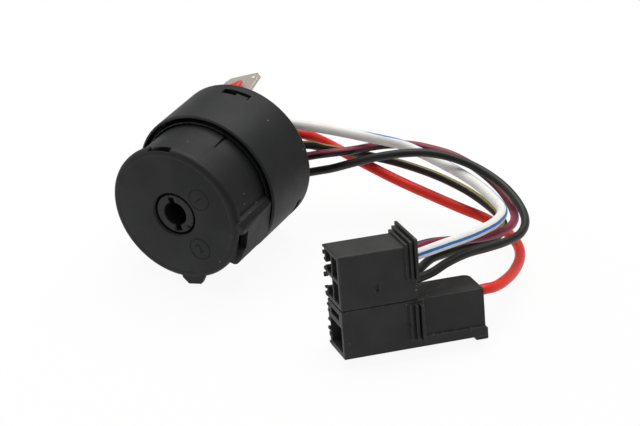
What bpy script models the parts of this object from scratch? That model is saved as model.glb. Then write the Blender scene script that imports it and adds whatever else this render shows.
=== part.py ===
# Ignition switch of a car: a round switch body, five wires, and the two-part connector they end in.
# The body lies on its side. Its axis runs along +Y, and its drive face looks along -Y.
# The origin is under the middle of the switch body, on the surface that it lies on.

import math

import bmesh
import bpy
from mathutils import Matrix, Vector

# Units and clearances
MM = 0.001
GAP = 0.3 * MM              # between faces that touch on the real switch
RUNNING_GAP = 0.4 * MM      # between the rotor and what it turns in
CARRIER_GAP = 0.7 * MM      # round the contact carrier
PAST = 1.0 * MM             # how far a cut or a joined body runs on past a face
SLIVER = 0.05 * MM          # by how much a cut passes a face that it stops at

# Rear cap. Distances along the axis are measured rearward from the drive face.
CAP_RADIUS = 19.0 * MM
CAP_WALL = 2.1 * MM
CAP_FRONT = 14.6 * MM
CAP_LENGTH = 18.2 * MM
CAP_FRONT_ROUND = 0.4 * MM
CAP_REAR_ROUND = 0.6 * MM
REAR_WALL = 1.2 * MM
REAR_RIM = 0.6 * MM
REAR_RIM_WIDTH = 1.8 * MM
CLAMP_RING_PLAY = 0.4 * MM  # in the housing's spigot
CLAMP_RING_WALL = 1.5 * MM

# Snap windows in the cap, and the lugs of the housing that show in them
SNAP_CLOCKS = (88.6, -31.0, 209.0)
SNAP_WIDTH = 7.4 * MM
SNAP_LENGTH = 2.2 * MM
SNAP_FROM_REAR = 2.7 * MM
LUG_WIDTH = 3.4 * MM
LUG_HEIGHT = 1.4 * MM
LUG_LENGTH = 1.4 * MM
LUG_LAND = 0.5 * MM
LUG_TURN = -5.0

# Front housing
FACE_LIP = 1.4 * MM
FACE_LIP_HEIGHT = 0.8 * MM
FACE_ROUND = 0.6 * MM
FRONT_WALL = 2.4 * MM
KEY_HOLE_RADIUS = 6.0 * MM
KEY_HOLE_CHAMFER = 0.5 * MM
BARREL_WALL = 3.0 * MM
SPIGOT_WALL = 2.0 * MM
BASE_SEAT = 24.3 * MM
PAD_CLOCK = -7.0
PAD_INSET = 0.8 * MM        # inside the cap's radius
PAD_BELOW = 6.2 * MM
PAD_ABOVE = 6.8 * MM
PAD_FRONT = 0.3 * MM
PAD_CHAMFER = (1.0 * MM, 1.2 * MM)
PAD_POCKET_WIDTH = 5.2 * MM
PAD_POCKET_SHIFT = 0.7 * MM
PAD_POCKET_LENGTH = 2.4 * MM
PAD_POCKET_LIP = 0.1 * MM
PAD_POCKET_DEPTH = 1.9 * MM
RIM_TAB_CLOCK = -74.0
RIM_TAB_INSET = 0.1 * MM    # inside the cap's radius
RIM_TAB_WIDTH = 4.6 * MM
RIM_TAB_THICKNESS = 1.2 * MM
RIM_TAB_STEP = 0.1 * MM
RIM_TAB_NOTCH = 0.8 * MM
RIM_SLOT_CLOCK = 103.5
RIM_SLOT_WIDTH = 6.2 * MM
RIM_SLOT_LENGTH = 1.7 * MM
RIM_SLOT_FRONT = 0.9 * MM
RIM_SLOT_DEPTH = 1.0 * MM
SLIT_CLOCK = 69.0
SLIT_LENGTH = 5.4 * MM
SLIT_WIDTH = 0.9 * MM
SLIT_DEPTH = 0.5 * MM

# Rotor
RING_PROUD = 0.6 * MM
RING_CHAMFER = 0.3 * MM
SOCKET_RADIUS = 2.9 * MM
SOCKET_DEPTH = 12.6 * MM
SLOT_REACH = 4.4 * MM
SLOT_WIDTH = 1.5 * MM
SLOT_DEPTH = 10.6 * MM
SLOT_CLOCK = 105.0
INDEX_CLOCK = -33.0
INDEX_INNER = 4.0 * MM
INDEX_WIDTH = 0.6 * MM
INDEX_DEPTH = 0.4 * MM
FLANGE_TO_BORE = 0.7        # the flange's radius as a share of the bore's
FLANGE_THICKNESS = 1.5 * MM
HUB_WALL = 2.6 * MM         # outside the key's slots
CAM_FRONT = 5.5 * MM
CAM_LENGTH = 5.0 * MM
SHAFT_TO_BORE = 0.47        # the shaft's radius as a share of the bore's
SHOULDER = 17.0 * MM
DRIVE_TO_SHAFT = 1.19       # the square's width as a share of the shaft's radius
DRIVE_LENGTH = 3.7 * MM
TURN_RANGE = 105.0          # from off through accessory and on to start
TURN_STEP = 35.0
STOP_LUG_CLOCK = 60.0
STOP_LUG_INSET = 2.0 * MM   # inside the bore
STOP_LUG_WIDTH = 3.0 * MM
STOP_RIB_WIDTH = 2.4 * MM
STOP_RIB_PLAY = 0.5 * MM    # round the flange

# Detent
DETENT_AXIS = 8.0 * MM
DETENT_NOTCH_RADIUS = 1.9 * MM
DETENT_NOTCH_DEPTH = 0.7 * MM
PLUNGER_RADIUS = 1.7 * MM
PLUNGER_LENGTH = 3.5 * MM
DETENT_POCKET_WALL = 1.2 * MM
DETENT_WIRE = 0.4 * MM
DETENT_SPRING_RADIUS = 1.2 * MM
DETENT_TURNS = 4

# Return spring and what its legs stand against
RETURN_SPRING_PLAY = 0.85 * MM
RETURN_WIRE = 0.9 * MM
RETURN_TURNS = 3
RETURN_FRONT = 11.3 * MM
RETURN_REAR = 15.1 * MM
RETURN_LEG_INSET = 1.0 * MM
ANCHOR_CLOCK = 235.0
ANCHOR_WIDTH = 2.4 * MM
ANCHOR_MARGIN = 0.4 * MM
FINGER_PLAY = 0.45 * MM     # outside the spring's coil
FINGER_WIDTH = 2.0 * MM
FINGER_HEIGHT = 1.3 * MM
FINGER_FRONT = 14.2 * MM
FINGER_BACK = 0.1 * MM      # how far it stands back from the anchor's clock after a full turn

# Contact carrier, its bridges and their springs
CARRIER_THICKNESS = 3.7 * MM
BRIDGE_CLOCKS = (30.0, 150.0, 270.0)
BRIDGE_INNER = 4.6 * MM
BRIDGE_INSET = 2.4 * MM     # inside the bore
BRIDGE_WIDTH = 4.0 * MM
BRIDGE_THICKNESS = 0.7 * MM
BRIDGE_LIFT = 0.5 * MM
BRIDGE_FOOT = 1.1 * MM
GUIDE_WIDTH = 1.0 * MM
GUIDE_LENGTH = 4.6 * MM
CONTACT_WIRE = 0.5 * MM
CONTACT_SPRING_RADIUS = 1.6 * MM
CONTACT_TURNS = 4
POCKET_FLOOR = 1.0 * MM

# Terminal base and fixed contacts
BASE_THICKNESS = 3.8 * MM
BASE_KEY_CLOCK = 180.0
BASE_KEY_WIDTH = 3.0 * MM
BASE_KEY_HEIGHT = 0.9 * MM
CONTACT_THICKNESS = 0.6 * MM
STEM_RADIUS = 0.9 * MM

# Supply tab
TAB_CLOCK = 116.0
TAB_THICKNESS = 0.8 * MM
TAB_ROOT_THICKNESS = 0.7 * MM
TAB_INSET = 2.0 * MM        # inside the spigot's bore
TAB_ROOT_WIDTH = 5.0 * MM
TAB_BLADE_WIDTH = 11.2 * MM
TAB_CORNER = 1.3 * MM
TAB_REACH = 12.4 * MM
TAB_TILT = 12.0
TAB_FOOT_LENGTH = 5.2 * MM
TAB_DIMPLE_RADIUS = 0.45 * MM
TAB_DIMPLE_INSET = 1.6 * MM
SLEEVE_WIDTH = 3.6 * MM
SLEEVE_LENGTH = 6.5 * MM
SLEEVE_HEIGHT = 1.1 * MM
SLEEVE_ROUND = 0.35 * MM
SLEEVE_FROM_TIP = 2.0 * MM
SLEEVE_ASIDE = 1.2 * MM

# Connector: along the wires, front to back, and up, before it leans on its edge
CONNECTOR_PLACE = (53.18 * MM, -35.17 * MM)
CONNECTOR_YAW = 45.4
CONNECTOR_LEAN = 15.0
TABLE_GAP = 0.05 * MM
HOUSING_DEPTH = 11.4 * MM
TOP_LENGTH = 18.5 * MM
TOP_HEIGHT = 13.05 * MM
TOP_EDGE_ROUND = 0.25 * MM
CAVITY_FRONT_WALL = 1.2 * MM
CAVITY_FLOOR_WALL = 1.15 * MM
CAVITY_ROOF_WALL = 1.1 * MM
CAVITY_BACK_WALL = 4.0 * MM
CAVITY_WEB = (0.6 * MM, 0.8 * MM)
GRIP_STEPS = (0.6 * MM, 1.2 * MM, 1.9 * MM)
GRIP_THICKNESS = 0.65 * MM
GRIP_PITCH = 1.0 * MM
GRIP_BOTTOM = 5.05 * MM     # above the joint between the housings
TOP_DIMPLE = (8.8 * MM, 4.25 * MM)
TOP_DIMPLE_SIZE = (1.0 * MM, 1.8 * MM)
TOP_DIMPLE_DEPTH = 0.4 * MM
TOP_NOTCHES = ((2.75 * MM, 5.55 * MM), (7.85 * MM, 8.85 * MM))
SIDE_LENGTH = 34.4 * MM
SIDE_HEIGHT = 11.45 * MM
SIDE_BACK_CORNER = 1.5 * MM
SIDE_WALL = 1.2 * MM
SIDE_CAVITY_HEIGHT = 6.1 * MM
SIDE_CAVITY_DEPTH = 19.0 * MM
SIDE_BACK_WALL = 3.0 * MM
SIDE_ROOF_WALL = 0.6 * MM
SIDE_KEY_SLOT_COVER = 1.25 * MM
SIDE_KEY_SLOT_SIZE = (6.6 * MM, 1.6 * MM)
SIDE_KEY_SLOT_DEPTH = 6.0 * MM
SIDE_RECESS = 0.5 * MM
SIDE_LIP = 2.3 * MM
SIDE_GRIP_START = 16.1 * MM
SIDE_GRIP_PITCH = 1.2 * MM
SIDE_GRIP_STEPS = (0.7 * MM, 1.3 * MM, 2.0 * MM)
SIDE_GRIP_BOTTOM = 2.0 * MM
SIDE_GRIP_BELOW = 0.85 * MM # below the joint between the housings
HOOK_LENGTH = 2.6 * MM
HOOK_DROP = 0.9 * MM
HOOK_NIB = 0.5 * MM
HOOK_HEIGHT = 2.0 * MM
HOOK_DEPTH = 6.5 * MM
HOOK_BACK = 0.1 * MM
HOOK_ROUND = 0.2 * MM
NOTCH_DEPTH = 1.4 * MM
NOTCH_REACH = 1.4 * MM
SIDE_NOTCH_REACH = 0.9 * MM
SIDE_NOTCHES = ((0.85 * MM, 2.05 * MM), (5.65 * MM, 7.85 * MM))
RECEPTACLE_WALL = 0.4 * MM
RECEPTACLE_FRONT = 2.0 * MM
RECEPTACLE_NECK = 2.0 * MM
SIDE_RECEPTACLE_FRONT = 7.0 * MM
CRIMP_LENGTH = 2.0 * MM     # behind the box that takes the blade
SIDE_CRIMP_LENGTH = 3.1 * MM
CRIMP_PLAY = 0.42 * MM      # under the roof of the side housing

# Wires. Each has its hole in the cap as a clock angle and a distance inside the clamp ring, its cavity
# (front to back, up), its contact's sector (from, to, and two edges inside the ring) and its route.
FINE_WIRE = 2.1 * MM
HEAVY_WIRE = 2.6 * MM
WIRE_POINT_COUNT = 15
WIRE_STRAIGHT = 0.5 * MM    # behind the connector, before a wire bends
BEND_WEIGHT = 4.0 * MM      # extra route length that one radian of bend counts for
WIRES = {
    "white_blue": {
        "diameter": HEAVY_WIRE,
        "hole": (55.9, 4.5),
        "cavity": (0, 1),
        "sector": (40.0, 75.0, 5.5, 1.2),
        "route": [
            (6.3, 17.5, 25.6), (10.6, 19.7, 25.3), (17.8, 23.7, 23.8), (25.2, 27.8, 21.8),
            (31.9, 32.7, 19.1), (37.2, 33.8, 17.6), (44.0, 33.1, 16.6), (52.5, 30.4, 16.2),
            (60.5, 25.6, 16.4), (66.4, 19.7, 17.2), (68.2, 12.5, 18.6), (67.6, 5.2, 20.0),
            (66.3, -1.1, 21.2), (64.6, -6.7, 22.2), (62.9, -11.7, 22.9),
        ],
    },
    "red": {
        "diameter": HEAVY_WIRE,
        "hole": (27.5, 7.05),
        "cavity": None,
        "sector": (10.0, 46.0, 9.1, 5.8),
        "route": [
            (6.5, 21.2, 21.1), (10.3, 23.3, 20.6), (13.3, 27.7, 17.0), (18.3, 29.6, 14.2),
            (24.0, 30.2, 12.2), (33.8, 29.4, 10.6), (42.8, 30.0, 8.6), (50.5, 30.8, 6.8),
            (56.7, 31.8, 5.2), (62.7, 30.7, 4.0), (67.5, 27.3, 3.6), (70.9, 21.5, 4.2),
            (73.3, 12.8, 6.0), (74.4, 4.8, 8.2), (74.2, -0.6, 9.6), (73.1, -3.7, 10.5),
        ],
    },
    "black": {
        "diameter": FINE_WIRE,
        "hole": (-40.7, 1.4),
        "cavity": (0, 0),
        "sector": (-88.0, -33.0, 5.5, 0.3),
        "route": [
            (9.6, 14.6, 11.9), (12.2, 17.4, 12.7), (16.0, 19.6, 13.6), (19.7, 20.4, 15.0),
            (24.8, 21.6, 17.4), (30.9, 23.8, 19.8), (36.5, 26.5, 21.0), (41.8, 29.5, 21.0),
            (47.6, 31.7, 20.0), (54.1, 32.5, 18.4), (61.2, 30.9, 16.8), (67.2, 27.3, 15.4),
            (71.6, 21.9, 14.8), (73.1, 16.0, 14.8), (72.1, 10.0, 15.6), (70.1, 4.2, 16.6),
            (67.5, -1.9, 17.6), (65.3, -7.9, 17.8), (63.8, -12.7, 17.4),
        ],
    },
    "black_yellow": {
        "diameter": FINE_WIRE,
        "hole": (2.7, 4.3),
        "cavity": (1, 0),
        "sector": (-6.0, 25.0, 5.5, 1.2),
        "route": [
            (9.7, 18.3, 19.6), (12.9, 20.4, 19.8), (15.0, 23.1, 18.3), (18.4, 25.2, 17.4),
            (21.4, 27.0, 16.6), (24.8, 29.8, 15.2), (31.6, 33.6, 13.0), (40.4, 34.6, 11.8),
            (49.0, 33.5, 11.0), (55.9, 31.2, 10.4), (62.0, 27.5, 10.2), (65.8, 22.7, 10.6),
            (66.6, 16.5, 11.6), (65.0, 10.3, 12.8), (62.9, 3.7, 14.2), (61.2, -2.1, 15.4),
            (60.2, -6.4, 16.2), (59.4, -12.2, 15.9),
        ],
    },
    "violet_black": {
        "diameter": FINE_WIRE,
        "hole": (-17.0, 2.45),
        "cavity": (1, 1),
        "sector": (-27.0, -9.0, 5.5, 0.8),
        "route": [
            (11.2, 16.9, 17.0), (14.8, 19.1, 18.0), (17.5, 19.5, 19.0), (20.5, 20.7, 19.7),
            (23.6, 24.0, 19.5), (25.8, 31.0, 17.6), (28.7, 35.7, 16.5), (32.7, 38.5, 16.0),
            (37.8, 39.6, 15.7), (43.7, 40.0, 15.2), (50.9, 38.3, 14.4), (58.1, 35.0, 13.2),
            (63.8, 30.3, 12.4), (67.4, 25.2, 12.4), (68.6, 19.4, 13.2), (67.8, 13.1, 14.6),
            (66.1, 7.8, 16.0), (64.1, 3.0, 17.6), (62.1, -1.5, 19.2), (60.2, -6.2, 20.8),
            (58.2, -11.1, 21.7),
        ],
    },
}

# Places that follow from the sizes
CAP_BORE = CAP_RADIUS - CAP_WALL
CAP_REAR = CAP_FRONT + CAP_LENGTH
REAR_WALL_OUTSIDE = CAP_REAR - REAR_RIM
REAR_WALL_INSIDE = REAR_WALL_OUTSIDE - REAR_WALL
BARREL_RADIUS = CAP_BORE - GAP
BARREL_END = REAR_WALL_INSIDE - GAP
BORE_RADIUS = BARREL_RADIUS - BARREL_WALL
SPIGOT_BORE = BARREL_RADIUS - SPIGOT_WALL
CLAMP_RING_OUTSIDE = SPIGOT_BORE - CLAMP_RING_PLAY
CLAMP_RING_BORE = CLAMP_RING_OUTSIDE - CLAMP_RING_WALL
FACE_RADIUS = BARREL_RADIUS + FACE_LIP_HEIGHT
PAD_REACH = CAP_RADIUS - PAD_INSET
RIM_TAB_REACH = CAP_RADIUS - RIM_TAB_INSET
FLANGE_RADIUS = BORE_RADIUS * FLANGE_TO_BORE
HUB_RADIUS = SLOT_REACH + HUB_WALL
SHAFT_RADIUS = BORE_RADIUS * SHAFT_TO_BORE
DRIVE_WIDTH = SHAFT_RADIUS * DRIVE_TO_SHAFT
STOP_LUG_REACH = BORE_RADIUS - STOP_LUG_INSET
STOP_RIB_INNER = FLANGE_RADIUS + STOP_RIB_PLAY
DETENT_POCKET_END = PAD_REACH - DETENT_POCKET_WALL
RETURN_SPRING_RADIUS = SHAFT_RADIUS + RETURN_SPRING_PLAY + RETURN_WIRE / 2
RETURN_LEG_REACH = BORE_RADIUS - RETURN_LEG_INSET
FINGER_INNER = RETURN_SPRING_RADIUS + RETURN_WIRE / 2 + FINGER_PLAY
ANCHOR_INNER = FINGER_INNER + FINGER_HEIGHT + GAP
BRIDGE_OUTER = BORE_RADIUS - BRIDGE_INSET
BRIDGE_MIDDLE = (BRIDGE_INNER + BRIDGE_OUTER) / 2
TAB_OUTER = SPIGOT_BORE - TAB_INSET
TAB_ROOT_INNER = TAB_OUTER - TAB_ROOT_THICKNESS
TAB_FOOT_INNER = TAB_OUTER - TAB_FOOT_LENGTH
BASE_FRONT = BASE_SEAT + GAP
BASE_REAR = BASE_FRONT + BASE_THICKNESS
PLATE_REAR = BASE_FRONT - GAP
PLATE_FRONT = PLATE_REAR - CONTACT_THICKNESS
BRIDGE_REAR = PLATE_FRONT - GAP - BRIDGE_LIFT
BRIDGE_FRONT = BRIDGE_REAR - BRIDGE_THICKNESS
CARRIER_FRONT = SHOULDER + GAP
CARRIER_REAR = CARRIER_FRONT + CARRIER_THICKNESS
TAB_END = CAP_REAR + TAB_REACH
FRONT_FACE_Y = -(TAB_END - RING_PROUD) / 2
TOP_BOTTOM = SIDE_HEIGHT + GAP
CAVITY_DEPTH = TOP_LENGTH - CAVITY_BACK_WALL
CAVITY_WIDTH = (HOUSING_DEPTH - 2 * CAVITY_FRONT_WALL - CAVITY_WEB[0]) / 2
CAVITY_HEIGHT = (TOP_HEIGHT - CAVITY_FLOOR_WALL - CAVITY_ROOF_WALL - CAVITY_WEB[1]) / 2
TOP_CRIMP_END = CAVITY_DEPTH - GAP + CRIMP_LENGTH
SIDE_CRIMP_END = SIDE_CAVITY_DEPTH + RECEPTACLE_NECK + SIDE_CRIMP_LENGTH
SIDE_ROOM_END = SIDE_LENGTH - SIDE_BACK_WALL
SIDE_ROOM_TOP = SIDE_HEIGHT - SIDE_ROOF_WALL
SIDE_KEY_SLOT_TOP = SIDE_HEIGHT - SIDE_KEY_SLOT_COVER

ROUND_STEPS = 64
SMALL_STEPS = 24
HOLE_STEPS = 16
TINY_STEPS = 12
SPRING_STEPS = 10
SMOOTH_ANGLE = math.radians(35)
UNMOVED = Matrix()
SIDEWAYS = Matrix.Rotation(math.radians(90), 4, "X")


def clock(degrees):
    """Turns +X to an angle seen from the drive face, counter-clockwise from the right."""
    return Matrix.Rotation(math.radians(-degrees), 4, "Z")


def wire_place(wire):
    """Where a wire's crimp and its hole in the cap stand, across the switch."""
    angle, inset = wire["hole"]
    return clock(angle) @ Matrix.Translation((CLAMP_RING_BORE - inset * MM, 0, 0))


class Bodies:
    """Closed bodies in one mesh, each apart from the others."""

    def __init__(self):
        self.bm = bmesh.new()

    def turned(self, profile, place=UNMOVED, steps=ROUND_STEPS):
        """Turns (radius, height) points round Z. A profile that starts on the axis also ends there."""
        rings = []
        for radius, height in profile:
            if radius == 0:
                ring = [self.bm.verts.new(place @ Vector((0, 0, height)))] * steps
            else:
                turns = [2 * math.pi * step / steps for step in range(steps)]
                spots = [(radius * math.cos(turn), radius * math.sin(turn), height) for turn in turns]
                ring = [self.bm.verts.new(place @ Vector(spot)) for spot in spots]
            rings.append(ring)
        pairs = list(zip(rings, rings[1:]))
        if profile[0][0] > 0:
            pairs.append((rings[-1], rings[0]))
        for ring, following in pairs:
            for step in range(steps):
                after = (step + 1) % steps
                corners = [ring[step], ring[after], following[after], following[step]]
                self.bm.faces.new(list(dict.fromkeys(corners)))

    def prism(self, outline, bottom, top, place=UNMOVED):
        """Extrudes an (x, y) outline from one height to another."""
        low = [self.bm.verts.new(place @ Vector((x, y, bottom))) for x, y in outline]
        high = [self.bm.verts.new(place @ Vector((x, y, top))) for x, y in outline]
        self.bm.faces.new(low)
        self.bm.faces.new(high)
        for index in range(len(outline)):
            after = (index + 1) % len(outline)
            self.bm.faces.new((low[index], low[after], high[after], high[index]))

    def block(self, x, y, z, place=UNMOVED, bevel=0.0):
        """A box from three (low, high) ranges, with its edges bevelled."""
        sizes = [high - low for low, high in (x, y, z)]
        middle = [(low + high) / 2 for low, high in (x, y, z)]
        fit = place @ Matrix.Translation(middle) @ Matrix.Diagonal((*sizes, 1))
        corners = bmesh.ops.create_cube(self.bm, size=1, matrix=fit)["verts"]
        if bevel:
            edges = list({edge for corner in corners for edge in corner.link_edges})
            bmesh.ops.bevel(self.bm, geom=edges, offset=bevel, segments=1, affect="EDGES", profile=0.5)

    def rod(self, radius, bottom, top, place=UNMOVED, steps=SMALL_STEPS):
        """A round rod along Z."""
        self.turned([(0, bottom), (radius, bottom), (radius, top), (0, top)], place, steps)

    def finish(self, name):
        """Makes the mesh an object with its faces pointing out."""
        bmesh.ops.recalc_face_normals(self.bm, faces=self.bm.faces)
        mesh = bpy.data.meshes.new(name)
        self.bm.to_mesh(mesh)
        self.bm.free()
        piece = bpy.data.objects.new(name, mesh)
        bpy.context.collection.objects.link(piece)
        return piece


def combine(piece, bodies, operation):
    """Joins bodies to a piece with UNION, or takes them out of it with DIFFERENCE."""
    tool = bodies.finish(piece.name + "_tool")
    boolean = piece.modifiers.new(operation.lower(), "BOOLEAN")
    boolean.operation = operation
    boolean.solver = "EXACT"
    boolean.object = tool
    depsgraph = bpy.context.evaluated_depsgraph_get()
    shaped = bpy.data.meshes.new_from_object(piece.evaluated_get(depsgraph))
    piece.modifiers.clear()
    piece.data = shaped
    bpy.data.objects.remove(tool, do_unlink=True)


def finish(piece, material, frame):
    """Gives a mesh piece its material, its shading and the frame that it was drawn in."""
    piece.data.materials.clear()
    piece.data.materials.append(material)
    piece.data.shade_smooth()
    piece.data.set_sharp_from_angle(angle=SMOOTH_ANGLE)
    piece.parent = frame


def tube(name, points, diameter, material, frame, bevel_resolution):
    """A round wire along the points, with flat ends."""
    curve = bpy.data.curves.new(name, "CURVE")
    curve.dimensions = "3D"
    curve.bevel_depth = diameter / 2
    curve.bevel_resolution = bevel_resolution
    curve.use_fill_caps = True
    spline = curve.splines.new("POLY")
    spline.points.add(len(points) - 1)
    for spot, point in zip(spline.points, points):
        spot.co = (*point, 1)
    curve.materials.append(material)
    piece = bpy.data.objects.new(name, curve)
    bpy.context.collection.objects.link(piece)
    piece.parent = frame
    return piece


def helix(radius, bottom, top, turns, start_turn=0.0):
    """Points of a coil round Z."""
    count = round(turns * SPRING_STEPS)
    points = []
    for step in range(count + 1):
        share = step / count
        turn = 2 * math.pi * turns * share + start_turn
        height = bottom + (top - bottom) * share
        points.append(Vector((radius * math.cos(turn), radius * math.sin(turn), height)))
    return points


def sector(inner, outer, start, end):
    """Outline of a ring's sector between two clock angles."""
    steps = max(3, round(abs(end - start) / 8))
    angles = [start + (end - start) * step / steps for step in range(steps + 1)]
    outline = [clock(angle) @ Vector((outer, 0, 0)) for angle in angles]
    outline += [clock(angle) @ Vector((inner, 0, 0)) for angle in reversed(angles)]
    return [(point.x, point.y) for point in outline]


def make_material(name, color, roughness, metallic=0.0):
    material = bpy.data.materials.new(name)
    material.use_nodes = True
    shader = material.node_tree.nodes["Principled BSDF"]
    shader.inputs["Base Color"].default_value = (*color, 1)
    shader.inputs["Roughness"].default_value = roughness
    shader.inputs["Metallic"].default_value = metallic
    material.diffuse_color = (*color, 1)
    return material


def make_frame(name, location, rotation, parent=None):
    frame = bpy.data.objects.new(name, None)
    frame.location = location
    frame.rotation_euler = [math.radians(angle) for angle in rotation]
    frame.parent = parent
    bpy.context.collection.objects.link(frame)
    return frame


def make_rear_cap(material, frame):
    """A cup over the rear half, with a sunk rear wall and a ring that clamps the base."""
    body = Bodies()
    rim_inside = CAP_RADIUS - REAR_RIM_WIDTH
    body.turned([
        (0, REAR_WALL_OUTSIDE), (rim_inside, REAR_WALL_OUTSIDE),
        (rim_inside, CAP_REAR), (CAP_RADIUS - CAP_REAR_ROUND, CAP_REAR),
        (CAP_RADIUS - 0.3 * CAP_REAR_ROUND, CAP_REAR - 0.3 * CAP_REAR_ROUND),
        (CAP_RADIUS, CAP_REAR - CAP_REAR_ROUND), (CAP_RADIUS, CAP_FRONT + CAP_FRONT_ROUND),
        (CAP_RADIUS - CAP_FRONT_ROUND, CAP_FRONT), (CAP_BORE, CAP_FRONT),
        (CAP_BORE, REAR_WALL_INSIDE), (CLAMP_RING_OUTSIDE, REAR_WALL_INSIDE),
        (CLAMP_RING_OUTSIDE, BASE_REAR + GAP), (CLAMP_RING_BORE, BASE_REAR + GAP),
        (CLAMP_RING_BORE, REAR_WALL_INSIDE), (0, REAR_WALL_INSIDE),
    ])
    cap = body.finish("rear_cap")
    cuts = Bodies()
    window = (CAP_REAR - SNAP_FROM_REAR - SNAP_LENGTH, CAP_REAR - SNAP_FROM_REAR)
    for angle in SNAP_CLOCKS:
        cuts.block((CAP_BORE - PAST, CAP_RADIUS + PAST), (-SNAP_WIDTH / 2, SNAP_WIDTH / 2), window,
                   clock(angle))
    for wire in WIRES.values():
        cuts.rod(wire["diameter"] / 2 + GAP, REAR_WALL_INSIDE - PAST / 2, CAP_REAR + PAST, wire_place(wire))
    half = TAB_ROOT_WIDTH / 2 + GAP
    inner = TAB_ROOT_INNER - GAP
    outer = tab_outside(REAR_WALL_OUTSIDE) + GAP
    wall_inside = REAR_WALL_INSIDE - SLIVER
    through = [
        (inner, BASE_REAR), (SPIGOT_BORE, BASE_REAR), (SPIGOT_BORE, wall_inside), (outer, wall_inside),
        (outer, CAP_REAR), (inner, CAP_REAR),
    ]
    cuts.prism(through, -half, half, clock(TAB_CLOCK) @ SIDEWAYS)
    combine(cap, cuts, "DIFFERENCE")
    finish(cap, material, frame)


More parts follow.
